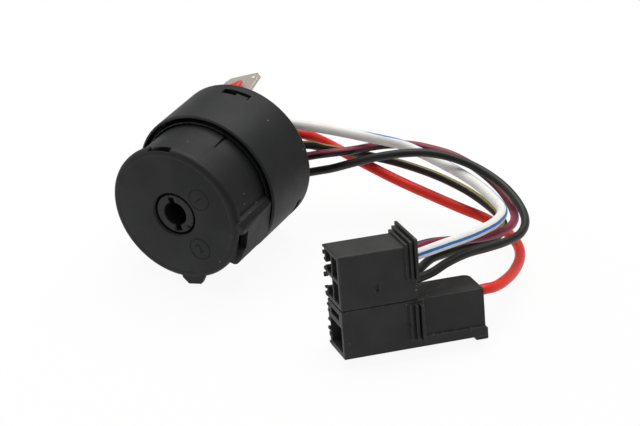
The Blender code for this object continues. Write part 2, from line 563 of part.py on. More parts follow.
def make_front_housing(material, frame):
    """The barrel with its drive face, locating pads, snap lugs, stops and detent pockets."""
    body = Bodies()
    body.turned([
        (KEY_HOLE_RADIUS + KEY_HOLE_CHAMFER, 0), (FACE_RADIUS - FACE_ROUND, 0),
        (FACE_RADIUS - 0.3 * FACE_ROUND, 0.3 * FACE_ROUND), (FACE_RADIUS, FACE_ROUND),
        (FACE_RADIUS, FACE_LIP), (BARREL_RADIUS, FACE_LIP), (BARREL_RADIUS, BARREL_END),
        (SPIGOT_BORE, BARREL_END), (SPIGOT_BORE, BASE_SEAT), (BORE_RADIUS, BASE_SEAT),
        (BORE_RADIUS, FRONT_WALL), (KEY_HOLE_RADIUS, FRONT_WALL), (KEY_HOLE_RADIUS, KEY_HOLE_CHAMFER),
    ])
    housing = body.finish("front_housing")
    in_wall = BORE_RADIUS + PAST
    added = Bodies()
    pad = [
        (in_wall, PAD_FRONT), (PAD_REACH - PAD_CHAMFER[0], PAD_FRONT),
        (PAD_REACH, PAD_FRONT + PAD_CHAMFER[1]), (PAD_REACH, CAP_FRONT - GAP), (in_wall, CAP_FRONT - GAP),
    ]
    added.prism(pad, -PAD_BELOW, PAD_ABOVE, clock(PAD_CLOCK) @ SIDEWAYS)
    added.block((BARREL_RADIUS - PAST, RIM_TAB_REACH), (-RIM_TAB_WIDTH / 2, RIM_TAB_WIDTH / 2),
                (RIM_TAB_STEP, RIM_TAB_STEP + RIM_TAB_THICKNESS), clock(RIM_TAB_CLOCK))
    lug_front = CAP_REAR - SNAP_FROM_REAR - SNAP_LENGTH + GAP
    lug = [
        (BARREL_RADIUS - PAST, lug_front), (BARREL_RADIUS + LUG_HEIGHT, lug_front),
        (BARREL_RADIUS + LUG_HEIGHT, lug_front + LUG_LAND), (BARREL_RADIUS, lug_front + LUG_LENGTH),
        (BARREL_RADIUS - PAST, lug_front + LUG_LENGTH),
    ]
    for angle in SNAP_CLOCKS:
        added.prism(lug, -LUG_WIDTH / 2, LUG_WIDTH / 2, clock(angle + LUG_TURN) @ SIDEWAYS)
    for angle in stop_rib_clocks():
        added.block((STOP_RIB_INNER, in_wall), (-STOP_RIB_WIDTH / 2, STOP_RIB_WIDTH / 2),
                    (FRONT_WALL - PAST, FRONT_WALL + GAP + FLANGE_THICKNESS), clock(angle))
    added.block((ANCHOR_INNER, in_wall), (-ANCHOR_WIDTH / 2, ANCHOR_WIDTH / 2),
                (RETURN_FRONT - ANCHOR_MARGIN, RETURN_REAR + ANCHOR_MARGIN), clock(ANCHOR_CLOCK))
    combine(housing, added, "UNION")
    cuts = Bodies()
    pocket = (PAD_POCKET_SHIFT - PAD_POCKET_WIDTH / 2, PAD_POCKET_SHIFT + PAD_POCKET_WIDTH / 2)
    pocket_front = PAD_FRONT + PAD_POCKET_LIP
    cuts.block((PAD_REACH - PAD_POCKET_DEPTH, PAD_REACH + PAST), pocket,
               (pocket_front, pocket_front + PAD_POCKET_LENGTH), clock(PAD_CLOCK))
    cuts.rod(PLUNGER_RADIUS + GAP, BORE_RADIUS - PAST, DETENT_POCKET_END, radial(PAD_CLOCK, DETENT_AXIS))
    cuts.block((BARREL_RADIUS - RIM_SLOT_DEPTH, FACE_RADIUS + PAST),
               (-RIM_SLOT_WIDTH / 2, RIM_SLOT_WIDTH / 2),
               (RIM_SLOT_FRONT, RIM_SLOT_FRONT + RIM_SLOT_LENGTH), clock(RIM_SLOT_CLOCK))
    slit = [(CAP_FRONT - SLIT_LENGTH, -0.1 * SLIT_WIDTH), (CAP_FRONT + PAST, -SLIT_WIDTH / 2),
            (CAP_FRONT + PAST, SLIT_WIDTH / 2), (CAP_FRONT - SLIT_LENGTH, 0.1 * SLIT_WIDTH)]
    standing = clock(SLIT_CLOCK) @ Matrix.Rotation(math.radians(-90), 4, "Y")
    cuts.prism(slit, -BARREL_RADIUS - PAST, -BARREL_RADIUS + SLIT_DEPTH, standing)
    notch = (RIM_TAB_WIDTH / 2 - RIM_TAB_NOTCH, RIM_TAB_WIDTH / 2 + PAST)
    cuts.block((RIM_TAB_REACH - RIM_TAB_NOTCH, RIM_TAB_REACH + PAST), (-notch[1], -notch[0]),
               (-PAST, RIM_TAB_STEP + RIM_TAB_THICKNESS + PAST), clock(RIM_TAB_CLOCK))
    cuts.block((SPIGOT_BORE - PAST / 2, SPIGOT_BORE + BASE_KEY_HEIGHT + GAP),
               (-BASE_KEY_WIDTH / 2 - GAP, BASE_KEY_WIDTH / 2 + GAP), (BASE_SEAT, BARREL_END + PAST),
               clock(BASE_KEY_CLOCK))
    combine(housing, cuts, "DIFFERENCE")
    finish(housing, material, frame)


def radial(angle, along):
    """Points Z outward from the axis at a clock angle, at a distance behind the drive face."""
    return clock(angle) @ Matrix.Translation((0, 0, along)) @ Matrix.Rotation(math.radians(90), 4, "Y")


def stop_rib_clocks():
    """Where the housing stops the rotor's lug at off and at start."""
    reach = (STOP_LUG_WIDTH + STOP_RIB_WIDTH) / 2 + RUNNING_GAP
    apart = math.degrees(math.asin(reach / STOP_RIB_INNER))
    return STOP_LUG_CLOCK + apart, STOP_LUG_CLOCK - TURN_RANGE - apart


def make_rotor(material, frame):
    """The piece that the key drives: socket, stop flange, notched cam, shaft and square drive."""
    ring = KEY_HOLE_RADIUS - RUNNING_GAP
    flange_front = FRONT_WALL + GAP
    chamfer = RING_CHAMFER
    body = Bodies()
    body.turned([
        (0, SOCKET_DEPTH - RING_PROUD), (SOCKET_RADIUS, SOCKET_DEPTH - RING_PROUD),
        (SOCKET_RADIUS, chamfer - RING_PROUD), (SOCKET_RADIUS + chamfer, -RING_PROUD),
        (ring - chamfer, -RING_PROUD), (ring, chamfer - RING_PROUD), (ring, flange_front),
        (FLANGE_RADIUS, flange_front), (FLANGE_RADIUS, flange_front + FLANGE_THICKNESS),
        (HUB_RADIUS, flange_front + FLANGE_THICKNESS), (HUB_RADIUS, CAM_FRONT),
        (FLANGE_RADIUS, CAM_FRONT), (FLANGE_RADIUS, CAM_FRONT + CAM_LENGTH),
        (SHAFT_RADIUS, CAM_FRONT + CAM_LENGTH), (SHAFT_RADIUS, SHOULDER), (0, SHOULDER),
    ])
    rotor = body.finish("rotor")
    added = Bodies()
    half_drive = DRIVE_WIDTH / 2
    added.block((-half_drive, half_drive), (-half_drive, half_drive),
                (SHOULDER - PAST, SHOULDER + DRIVE_LENGTH))
    added.block((FLANGE_RADIUS - PAST, STOP_LUG_REACH), (-STOP_LUG_WIDTH / 2, STOP_LUG_WIDTH / 2),
                (flange_front, flange_front + FLANGE_THICKNESS), clock(STOP_LUG_CLOCK))
    combine(rotor, added, "UNION")
    cuts = Bodies()
    cuts.block((-SLOT_REACH, SLOT_REACH), (-SLOT_WIDTH / 2, SLOT_WIDTH / 2),
               (-RING_PROUD - PAST, SLOT_DEPTH - RING_PROUD), clock(SLOT_CLOCK))
    cuts.block((INDEX_INNER, ring + PAST), (-INDEX_WIDTH / 2, INDEX_WIDTH / 2),
               (-RING_PROUD - PAST, INDEX_DEPTH - RING_PROUD), clock(INDEX_CLOCK))
    notch_at = FLANGE_RADIUS + DETENT_NOTCH_RADIUS - DETENT_NOTCH_DEPTH
    for stop in range(round(TURN_RANGE / TURN_STEP) + 1):
        spot = clock(PAD_CLOCK + stop * TURN_STEP) @ Matrix.Translation((notch_at, 0, 0))
        cuts.rod(DETENT_NOTCH_RADIUS, CAM_FRONT - PAST / 2, CAM_FRONT + CAM_LENGTH + PAST / 2, spot,
                 TINY_STEPS)
    combine(rotor, cuts, "DIFFERENCE")
    finish(rotor, material, frame)


def make_detent(metal, spring_metal, frame):
    """The round-nosed plunger under the pad, and the spring behind it."""
    nose = FLANGE_RADIUS + GAP
    back = nose + PLUNGER_LENGTH
    outward = radial(PAD_CLOCK, DETENT_AXIS)
    profile = [(0, nose)]
    for degrees in (30, 60, 90):
        turn = math.radians(degrees)
        profile.append((PLUNGER_RADIUS * math.sin(turn), nose + PLUNGER_RADIUS * (1 - math.cos(turn))))
    profile += [(PLUNGER_RADIUS, back), (0, back)]
    body = Bodies()
    body.turned(profile, outward, SMALL_STEPS)
    finish(body.finish("detent_plunger"), metal, frame)
    first = back + GAP + DETENT_WIRE / 2
    last = DETENT_POCKET_END - GAP - DETENT_WIRE / 2
    points = [outward @ point for point in helix(DETENT_SPRING_RADIUS, first, last, DETENT_TURNS)]
    tube("detent_spring", points, DETENT_WIRE, spring_metal, frame, 1)


def make_return_spring(material, frame):
    """A torsion spring round the rotor, with a leg on each side of the anchor rib."""
    aside = (ANCHOR_WIDTH + RETURN_WIRE) / 2 + GAP
    first = RETURN_FRONT + RETURN_WIRE / 2
    last = RETURN_REAR - RETURN_WIRE / 2
    lean = math.asin(aside / RETURN_SPRING_RADIUS)
    coil = helix(RETURN_SPRING_RADIUS, first, last, RETURN_TURNS + lean / math.pi, -lean)
    start_leg = Vector((RETURN_LEG_REACH, -aside, first))
    end_leg = Vector((RETURN_LEG_REACH, aside, last))
    corner = RETURN_SPRING_RADIUS * math.cos(lean) + RETURN_WIRE
    start_corner = Vector((corner, -aside, first))
    end_corner = Vector((corner, aside, last))
    points = [start_leg, start_corner, *coil[1:-1], end_corner, end_leg]
    points = [clock(ANCHOR_CLOCK) @ point for point in points]
    tube("return_spring", points, RETURN_WIRE, material, frame, 1)


def make_contact_carrier(material, frame):
    """A disc on the rotor's square, with pockets, guides and the finger that meets the spring."""
    body = Bodies()
    body.turned([(0, CARRIER_FRONT), (BORE_RADIUS - CARRIER_GAP, CARRIER_FRONT),
                 (BORE_RADIUS - CARRIER_GAP, CARRIER_REAR), (0, CARRIER_REAR)])
    carrier = body.finish("contact_carrier")
    added = Bodies()
    guide_at = BRIDGE_WIDTH / 2 + GAP
    for angle in BRIDGE_CLOCKS:
        for side in (-1, 1):
            across = sorted((side * guide_at, side * (guide_at + GUIDE_WIDTH)))
            added.block((BRIDGE_MIDDLE - GUIDE_LENGTH / 2, BRIDGE_MIDDLE + GUIDE_LENGTH / 2), across,
                        (CARRIER_REAR - PAST / 2, BRIDGE_REAR), clock(angle))
    finger = ANCHOR_CLOCK + TURN_RANGE - math.degrees(FINGER_BACK / FINGER_INNER)
    added.block((FINGER_INNER, FINGER_INNER + FINGER_HEIGHT), (-FINGER_WIDTH / 2, FINGER_WIDTH / 2),
                (FINGER_FRONT, CARRIER_FRONT + PAST / 2), clock(finger))
    combine(carrier, added, "UNION")
    cuts = Bodies()
    half = DRIVE_WIDTH / 2 + GAP
    cuts.block((-half, half), (-half, half), (CARRIER_FRONT - PAST, CARRIER_REAR + PAST))
    for angle in BRIDGE_CLOCKS:
        spot = clock(angle) @ Matrix.Translation((BRIDGE_MIDDLE, 0, 0))
        cuts.rod(CONTACT_SPRING_RADIUS + CONTACT_WIRE / 2 + GAP / 2, CARRIER_FRONT + POCKET_FLOOR,
                 CARRIER_REAR + PAST, spot)
    combine(carrier, cuts, "DIFFERENCE")
    finish(carrier, material, frame)


def make_bridges(metal, spring_metal, frame):
    """Formed contact bridges with raised ends, each on its coil spring."""
    foot = BRIDGE_FOOT
    slope = BRIDGE_LIFT
    side = [
        (BRIDGE_INNER, BRIDGE_FRONT + BRIDGE_LIFT), (BRIDGE_INNER + foot, BRIDGE_FRONT + BRIDGE_LIFT),
        (BRIDGE_INNER + foot + slope, BRIDGE_FRONT), (BRIDGE_OUTER - foot - slope, BRIDGE_FRONT),
        (BRIDGE_OUTER - foot, BRIDGE_FRONT + BRIDGE_LIFT), (BRIDGE_OUTER, BRIDGE_FRONT + BRIDGE_LIFT),
        (BRIDGE_OUTER, BRIDGE_REAR + BRIDGE_LIFT), (BRIDGE_OUTER - foot, BRIDGE_REAR + BRIDGE_LIFT),
        (BRIDGE_OUTER - foot - slope, BRIDGE_REAR), (BRIDGE_INNER + foot + slope, BRIDGE_REAR),
        (BRIDGE_INNER + foot, BRIDGE_REAR + BRIDGE_LIFT), (BRIDGE_INNER, BRIDGE_REAR + BRIDGE_LIFT),
    ]
    for number, angle in enumerate(BRIDGE_CLOCKS, 1):
        body = Bodies()
        body.prism(side, -BRIDGE_WIDTH / 2, BRIDGE_WIDTH / 2, clock(angle) @ SIDEWAYS)
        finish(body.finish(f"moving_contact_{number}"), metal, frame)
        first = CARRIER_FRONT + POCKET_FLOOR + GAP + CONTACT_WIRE / 2
        last = BRIDGE_FRONT - GAP - CONTACT_WIRE / 2
        spot = clock(angle) @ Matrix.Translation((BRIDGE_MIDDLE, 0, 0))
        points = [spot @ point for point in helix(CONTACT_SPRING_RADIUS, first, last, CONTACT_TURNS)]
        tube(f"contact_spring_{number}", points, CONTACT_WIRE, spring_metal, frame, 1)


def make_terminal_base(material, frame):
    """The moulded disc that the fixed contacts stand in, keyed to the housing."""
    body = Bodies()
    radius = SPIGOT_BORE - GAP
    body.turned([(0, BASE_FRONT), (radius, BASE_FRONT), (radius, BASE_REAR), (0, BASE_REAR)])
    base = body.finish("terminal_base")
    key = Bodies()
    key.block((radius - PAST, radius + BASE_KEY_HEIGHT), (-BASE_KEY_WIDTH / 2, BASE_KEY_WIDTH / 2),
              (BASE_FRONT + GAP, BASE_REAR - GAP), clock(BASE_KEY_CLOCK))
    combine(base, key, "UNION")
    cuts = Bodies()
    for wire in WIRES.values():
        cuts.rod(STEM_RADIUS + GAP, BASE_FRONT - PAST, BASE_REAR + PAST, wire_place(wire), HOLE_STEPS)
    half = TAB_ROOT_WIDTH / 2 + GAP
    cuts.block((TAB_ROOT_INNER - GAP, TAB_OUTER + GAP), (-half, half), (BASE_FRONT - PAST, BASE_REAR + PAST),
               clock(TAB_CLOCK))
    combine(base, cuts, "DIFFERENCE")
    finish(base, material, frame)


def make_fixed_contacts(material, frame):
    """A plate before the base for each wire, its stem through the base, and the crimp behind it."""
    for number, wire in enumerate(WIRES.values(), 1):
        start, end, inner, outer = wire["sector"]
        outline = sector(CLAMP_RING_BORE - inner * MM, CLAMP_RING_BORE - outer * MM, start, end)
        plate = Bodies()
        plate.prism(outline, PLATE_FRONT, PLATE_REAR)
        contact = plate.finish(f"fixed_contact_{number}")
        stem = Bodies()
        in_plate = PLATE_FRONT + CONTACT_THICKNESS / 3
        crimp = wire["diameter"] / 2
        crimp_front = BASE_REAR + GAP
        stem.turned([
            (0, in_plate), (STEM_RADIUS, in_plate), (STEM_RADIUS, crimp_front),
            (crimp, crimp_front), (crimp, REAR_WALL_INSIDE - GAP), (0, REAR_WALL_INSIDE - GAP),
        ], wire_place(wire), TINY_STEPS)
        combine(contact, stem, "UNION")
        finish(contact, material, frame)


def tab_outside(along):
    """How far the tab's outer face stands from the axis, once it leans out behind the crimps."""
    return TAB_OUTER + max(0.0, along - REAR_WALL_INSIDE) * math.tan(math.radians(TAB_TILT))


def make_supply_tab(material, frame):
    """A strip from a contact foot through the base, then the wide blade that leans outward."""
    blade_start = CAP_REAR + GAP
    slant = math.cos(math.radians(TAB_TILT))
    thick = TAB_ROOT_THICKNESS / slant
    strip = [
        (TAB_FOOT_INNER, PLATE_FRONT), (TAB_OUTER, PLATE_FRONT), (TAB_OUTER, REAR_WALL_INSIDE),
        (tab_outside(TAB_END), TAB_END), (tab_outside(TAB_END) - thick, TAB_END),
        (TAB_ROOT_INNER, REAR_WALL_INSIDE), (TAB_ROOT_INNER, PLATE_REAR), (TAB_FOOT_INNER, PLATE_REAR),
    ]
    body = Bodies()
    body.prism(strip, -TAB_ROOT_WIDTH / 2, TAB_ROOT_WIDTH / 2, clock(TAB_CLOCK) @ SIDEWAYS)
    tab = body.finish("supply_tab")
    lean = clock(TAB_CLOCK) @ Matrix.Translation((TAB_OUTER, 0, REAR_WALL_INSIDE))
    lean = lean @ Matrix.Rotation(math.radians(TAB_TILT - 90), 4, "Y")
    near = (blade_start - REAR_WALL_INSIDE) / slant
    far = (TAB_END - REAR_WALL_INSIDE) / slant
    half = TAB_BLADE_WIDTH / 2
    outline = [
        (near, -half + TAB_CORNER), (near + TAB_CORNER, -half), (far - TAB_CORNER, -half),
        (far, -half + TAB_CORNER), (far, half - TAB_CORNER), (far - TAB_CORNER, half),
        (near + TAB_CORNER, half), (near, half - TAB_CORNER),
    ]
    blade = Bodies()
    blade.prism(outline, 0, TAB_THICKNESS, lean)
    combine(tab, blade, "UNION")
    dimple = Bodies()
    spot = lean @ Matrix.Translation((far - TAB_DIMPLE_INSET, half - TAB_DIMPLE_INSET, 0))
    dimple.rod(TAB_DIMPLE_RADIUS, -PAST, TAB_THICKNESS / 2, spot, TINY_STEPS)
    combine(tab, dimple, "DIFFERENCE")
    finish(tab, material, frame)
    return lean, far


def make_tab_sleeve(material, frame, lean, far):
    """A small red insulating piece on the outer face of the blade."""
    body = Bodies()
    end = far - SLEEVE_FROM_TIP
    across = (SLEEVE_ASIDE - SLEEVE_WIDTH / 2, SLEEVE_ASIDE + SLEEVE_WIDTH / 2)
    body.block((end - SLEEVE_LENGTH, end), across, (-GAP - SLEEVE_HEIGHT, -GAP), lean, SLEEVE_ROUND)
    finish(body.finish("supply_tab_sleeve"), material, frame)


def cavity_centre(column, row):
    """Middle of a cavity in the top housing: front to back, and up."""
    across = CAVITY_FRONT_WALL + CAVITY_WIDTH / 2 + column * (CAVITY_WIDTH + CAVITY_WEB[0])
    up = TOP_BOTTOM + CAVITY_FLOOR_WALL + CAVITY_HEIGHT / 2 + row * (CAVITY_HEIGHT + CAVITY_WEB[1])
    return across, up


def along_wires(across, up):
    """Points Z along the wires at a place in the connector's section."""
    return Matrix.Translation((0, across, up)) @ Matrix.Rotation(math.radians(90), 4, "Y")


def side_wire_centre():
    return HOUSING_DEPTH / 2, SIDE_ROOM_TOP - HEAVY_WIRE / 2 - CRIMP_PLAY


def make_connector_housing(material, frame):
    """The top housing: four cavities, and grip ribs that step outward round the wire end."""
    top = TOP_BOTTOM + TOP_HEIGHT
    body = Bodies()
    body.block((0, TOP_LENGTH), (0, HOUSING_DEPTH), (TOP_BOTTOM, top), bevel=TOP_EDGE_ROUND)
    housing = body.finish("connector_housing")
    grips = Bodies()
    for index, step in enumerate(GRIP_STEPS):
        end = TOP_LENGTH - (len(GRIP_STEPS) - 1 - index) * GRIP_PITCH
        grips.block((end - GRIP_THICKNESS, end), (-step, HOUSING_DEPTH + step),
                    (TOP_BOTTOM + GRIP_BOTTOM, top + step))
    combine(housing, grips, "UNION")
    cuts = Bodies()
    for column in range(2):
        for row in range(2):
            across, up = cavity_centre(column, row)
            cuts.block((-PAST, CAVITY_DEPTH), (across - CAVITY_WIDTH / 2, across + CAVITY_WIDTH / 2),
                       (up - CAVITY_HEIGHT / 2, up + CAVITY_HEIGHT / 2))
    combine(housing, cuts, "DIFFERENCE")
    holes = Bodies()
    for wire in WIRES.values():
        if wire["cavity"]:
            place = along_wires(*cavity_centre(*wire["cavity"]))
            holes.rod(wire["diameter"] / 2 + GAP, CAVITY_DEPTH - PAST, TOP_LENGTH + PAST, place, HOLE_STEPS)
    dimple_up = TOP_BOTTOM + TOP_DIMPLE[1]
    holes.block((TOP_DIMPLE[0] - TOP_DIMPLE_SIZE[0] / 2, TOP_DIMPLE[0] + TOP_DIMPLE_SIZE[0] / 2),
                (-PAST, TOP_DIMPLE_DEPTH),
                (dimple_up - TOP_DIMPLE_SIZE[1] / 2, dimple_up + TOP_DIMPLE_SIZE[1] / 2))
    for low, high in TOP_NOTCHES:
        holes.block((-PAST, NOTCH_DEPTH), (HOUSING_DEPTH - NOTCH_REACH, HOUSING_DEPTH + PAST),
                    (TOP_BOTTOM + low, TOP_BOTTOM + high))
    combine(housing, holes, "DIFFERENCE")
    finish(housing, material, frame)


def make_connector_side_housing(material, frame):
    """The long lower housing: one wide cavity, room for a crimp, grip ribs and a hook."""
    corner = SIDE_BACK_CORNER
    body = Bodies()
    body.prism([(0, 0), (SIDE_LENGTH, 0), (SIDE_LENGTH, HOUSING_DEPTH - corner),
                (SIDE_LENGTH - 0.3 * corner, HOUSING_DEPTH - 0.3 * corner),
                (SIDE_LENGTH - corner, HOUSING_DEPTH), (0, HOUSING_DEPTH)], 0, SIDE_HEIGHT)
    housing = body.finish("connector_side_housing")
    ribs = Bodies()
    for index, step in enumerate(SIDE_GRIP_STEPS):
        start = SIDE_GRIP_START + index * SIDE_GRIP_PITCH
        ribs.block((start, start + GRIP_THICKNESS), (-step, SIDE_WALL - SLIVER),
                   (SIDE_GRIP_BOTTOM, SIDE_HEIGHT - SIDE_GRIP_BELOW))
    ribs.block((SIDE_LENGTH - HOOK_LENGTH, SIDE_LENGTH + HOOK_NIB), (HOOK_BACK, HOOK_DEPTH),
               (-HOOK_DROP, HOOK_HEIGHT), bevel=HOOK_ROUND)
    combine(housing, ribs, "UNION")
    cuts = Bodies()
    side_recess_start = SIDE_GRIP_START + len(SIDE_GRIP_STEPS) * SIDE_GRIP_PITCH
    cuts.block((side_recess_start, SIDE_LENGTH + HOOK_NIB + PAST), (-PAST, SIDE_RECESS),
               (SIDE_LIP, SIDE_HEIGHT + PAST))
    inside = (SIDE_WALL, HOUSING_DEPTH - SIDE_WALL)
    profile = [
        (-PAST, SIDE_WALL), (SIDE_ROOM_END, SIDE_WALL), (SIDE_ROOM_END, SIDE_ROOM_TOP),
        (SIDE_CAVITY_DEPTH, SIDE_ROOM_TOP), (SIDE_CAVITY_DEPTH, SIDE_WALL + SIDE_CAVITY_HEIGHT),
        (-PAST, SIDE_WALL + SIDE_CAVITY_HEIGHT),
    ]
    cuts.prism(profile, -inside[1], -inside[0], SIDEWAYS)
    half = SIDE_KEY_SLOT_SIZE[0] / 2
    cuts.block((-PAST, SIDE_KEY_SLOT_DEPTH), (HOUSING_DEPTH / 2 - half, HOUSING_DEPTH / 2 + half),
               (SIDE_KEY_SLOT_TOP - SIDE_KEY_SLOT_SIZE[1], SIDE_KEY_SLOT_TOP))
    for high, low in SIDE_NOTCHES:
        cuts.block((-PAST, NOTCH_DEPTH), (HOUSING_DEPTH - SIDE_NOTCH_REACH, HOUSING_DEPTH + PAST),
                   (SIDE_HEIGHT - low, SIDE_HEIGHT - high))
    combine(housing, cuts, "DIFFERENCE")
    hole = Bodies()
    place = along_wires(*side_wire_centre())
    hole.rod(HEAVY_WIRE / 2 + GAP, SIDE_ROOM_END - PAST, SIDE_LENGTH + PAST, place)
    combine(housing, hole, "DIFFERENCE")
    finish(housing, material, frame)


def make_receptacle(name, box, crimp_centre, crimp_radius, crimp, material, frame):
    """A formed box that takes the mating blade, and the crimp that holds the wire."""
    (start, end), across, up = box
    body = Bodies()
    body.block(*box)
    receptacle = body.finish(name)
    if crimp_centre[1] > up[1]:
        neck = Bodies()
        neck.block((end - RECEPTACLE_NECK, end),
                   (crimp_centre[0] - crimp_radius, crimp_centre[0] + crimp_radius),
                   (up[1] - PAST, crimp_centre[1]))
        combine(receptacle, neck, "UNION")
    barrel = Bodies()
    barrel.rod(crimp_radius, *crimp, along_wires(*crimp_centre), TINY_STEPS)
    combine(receptacle, barrel, "UNION")
    hollow = Bodies()
    inset = RECEPTACLE_WALL
    hollow.block((start - PAST, end - RECEPTACLE_NECK), (across[0] + inset, across[1] - inset),
                 (up[0] + inset, up[1] - inset))
    combine(receptacle, hollow, "DIFFERENCE")
    finish(receptacle, material, frame)


def make_receptacles(material, frame):
    for number, wire in enumerate(WIRES.values(), 1):
        if wire["cavity"]:
            across, up = cavity_centre(*wire["cavity"])
            half = (CAVITY_WIDTH / 2 - GAP, CAVITY_HEIGHT / 2 - GAP)
            box = ((RECEPTACLE_FRONT, CAVITY_DEPTH - GAP), (across - half[0], across + half[0]),
                   (up - half[1], up + half[1]))
            crimp_end = TOP_CRIMP_END
        else:
            across, up = side_wire_centre()
            low = SIDE_WALL + GAP
            box = ((SIDE_RECEPTACLE_FRONT, SIDE_CAVITY_DEPTH + RECEPTACLE_NECK),
                   (SIDE_WALL + GAP, HOUSING_DEPTH - SIDE_WALL - GAP),
                   (low, low + SIDE_CAVITY_HEIGHT - 2 * GAP))
            crimp_end = SIDE_CRIMP_END
        crimp = (box[0][1] - PAST, crimp_end)
        make_receptacle(f"receptacle_{number}", box, (across, up), wire["diameter"] / 2, crimp,
                        material, frame)


def smooth_route(points, first, last, count):
    """Reads count points from a smooth curve through the route, between two of its points."""
    spans = [(after - before).length ** 0.5 for before, after in zip(points, points[1:])]
    times = [0.0]
    for span in spans:
        times.append(times[-1] + span)
    slopes = []
    for index in range(len(points)):
        before = max(index - 1, 0)
        after = min(index + 1, len(points) - 1)
        slopes.append((points[after] - points[before]) / (times[after] - times[before]))
    fine = [points[first]]
    for index in range(first, last):
        span = times[index + 1] - times[index]
        for step in range(1, 21):
            share = step / 20
            cube = share ** 3
            square = share ** 2
            spot = points[index] * (2 * cube - 3 * square + 1)
            spot += slopes[index] * span * (cube - 2 * square + share)
            spot += points[index + 1] * (3 * square - 2 * cube)
            spot += slopes[index + 1] * span * (cube - square)
            fine.append(spot)
    weights = [0.0]
    for index in range(1, len(fine)):
        step = fine[index] - fine[index - 1]
        bend = 0.0
        if index > 1:
            bend = step.angle(fine[index - 1] - fine[index - 2], 0.0)
        weights.append(weights[-1] + step.length + BEND_WEIGHT * bend)
    route = [fine[0]]
    index = 0
    for number in range(1, count - 1):
        wanted = weights[-1] * number / (count - 1)
        while weights[index + 1] < wanted:
            index += 1
        share = (wanted - weights[index]) / (weights[index + 1] - weights[index])
        route.append(fine[index].lerp(fine[index + 1], share))
    route.append(fine[-1])
    return route


def make_wires(materials, switch, connector):
    """Each wire from its crimp in the switch, out through the cap, round to its cavity."""
    for name, wire in WIRES.items():
        place = switch.matrix_world @ wire_place(wire)
        inside = place @ Vector((0, 0, REAR_WALL_INSIDE))
        mouth = place @ Vector((0, 0, CAP_REAR + GAP))
        if wire["cavity"]:
            across, up = cavity_centre(*wire["cavity"])
            end = TOP_LENGTH
            crimp_end = TOP_CRIMP_END
        else:
            across, up = side_wire_centre()
            end = SIDE_LENGTH
            crimp_end = SIDE_CRIMP_END
        arrival = connector.matrix_world @ Vector((end + WIRE_STRAIGHT, across, up))
        seated = connector.matrix_world @ Vector((crimp_end + GAP, across, up))
        route = [Vector(point) * MM for point in wire["route"]]
        points = [inside, mouth, *route, arrival, seated]
        smooth = smooth_route(points, 1, len(points) - 2, WIRE_POINT_COUNT)
        tube(f"wire_{name}", [inside, *smooth, seated], wire["diameter"], materials[name], None, 2)


def build():
    for old in list(bpy.data.objects):
        bpy.data.objects.remove(old, do_unlink=True)

    black_plastic = make_material("black_plastic", (0.018, 0.019, 0.019), 0.55)
    connector_plastic = make_material("connector_plastic", (0.016, 0.017, 0.017), 0.5)
    base_plastic = make_material("base_plastic", (0.11, 0.09, 0.06), 0.6)
    rotor_plastic = make_material("rotor_plastic", (0.015, 0.016, 0.016), 0.5)
    tinned = make_material("tinned_metal", (0.62, 0.6, 0.55), 0.4, 0.9)
    copper = make_material("contact_copper", (0.62, 0.33, 0.2), 0.35, 1.0)
    steel = make_material("spring_steel", (0.45, 0.45, 0.46), 0.35, 1.0)
    red_sleeve = make_material("red_sleeve", (0.7, 0.03, 0.02), 0.5)
    wire_materials = {
        "white_blue": make_material("insulation_white", (0.8, 0.78, 0.75), 0.45),
        "red": make_material("insulation_red", (0.72, 0.02, 0.015), 0.45),
        "black": make_material("insulation_black", (0.02, 0.02, 0.02), 0.45),
        "black_yellow": make_material("insulation_black_yellow", (0.05, 0.045, 0.02), 0.45),
        "violet_black": make_material("insulation_violet", (0.28, 0.04, 0.12), 0.45),
    }

    switch = make_frame("switch_axis", (0, FRONT_FACE_Y, CAP_RADIUS), (-90, 0, 0))
    rotor_axis = make_frame("rotor_axis", (0, 0, 0), (0, 0, 0), switch)
    edge_drop = HOUSING_DEPTH * math.sin(math.radians(CONNECTOR_LEAN))
    connector = make_frame("connector_frame", (*CONNECTOR_PLACE, edge_drop + TABLE_GAP),
                           (-CONNECTOR_LEAN, 0, CONNECTOR_YAW))
    bpy.context.view_layer.update()

    make_front_housing(black_plastic, switch)
    make_rear_cap(black_plastic, switch)
    make_rotor(rotor_plastic, rotor_axis)
    make_detent(steel, steel, switch)
    make_return_spring(steel, switch)
    make_contact_carrier(base_plastic, rotor_axis)
    make_bridges(copper, steel, rotor_axis)
    make_terminal_base(base_plastic, switch)
    make_fixed_contacts(copper, switch)
    lean, far = make_supply_tab(tinned, switch)
    make_tab_sleeve(red_sleeve, switch, lean, far)
    make_connector_housing(connector_plastic, connector)
    make_connector_side_housing(connector_plastic, connector)
    make_receptacles(tinned, connector)
    make_wires(wire_materials, switch, connector)


build()
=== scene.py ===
import math
import random

import bmesh
import bpy
from mathutils import Matrix, Vector


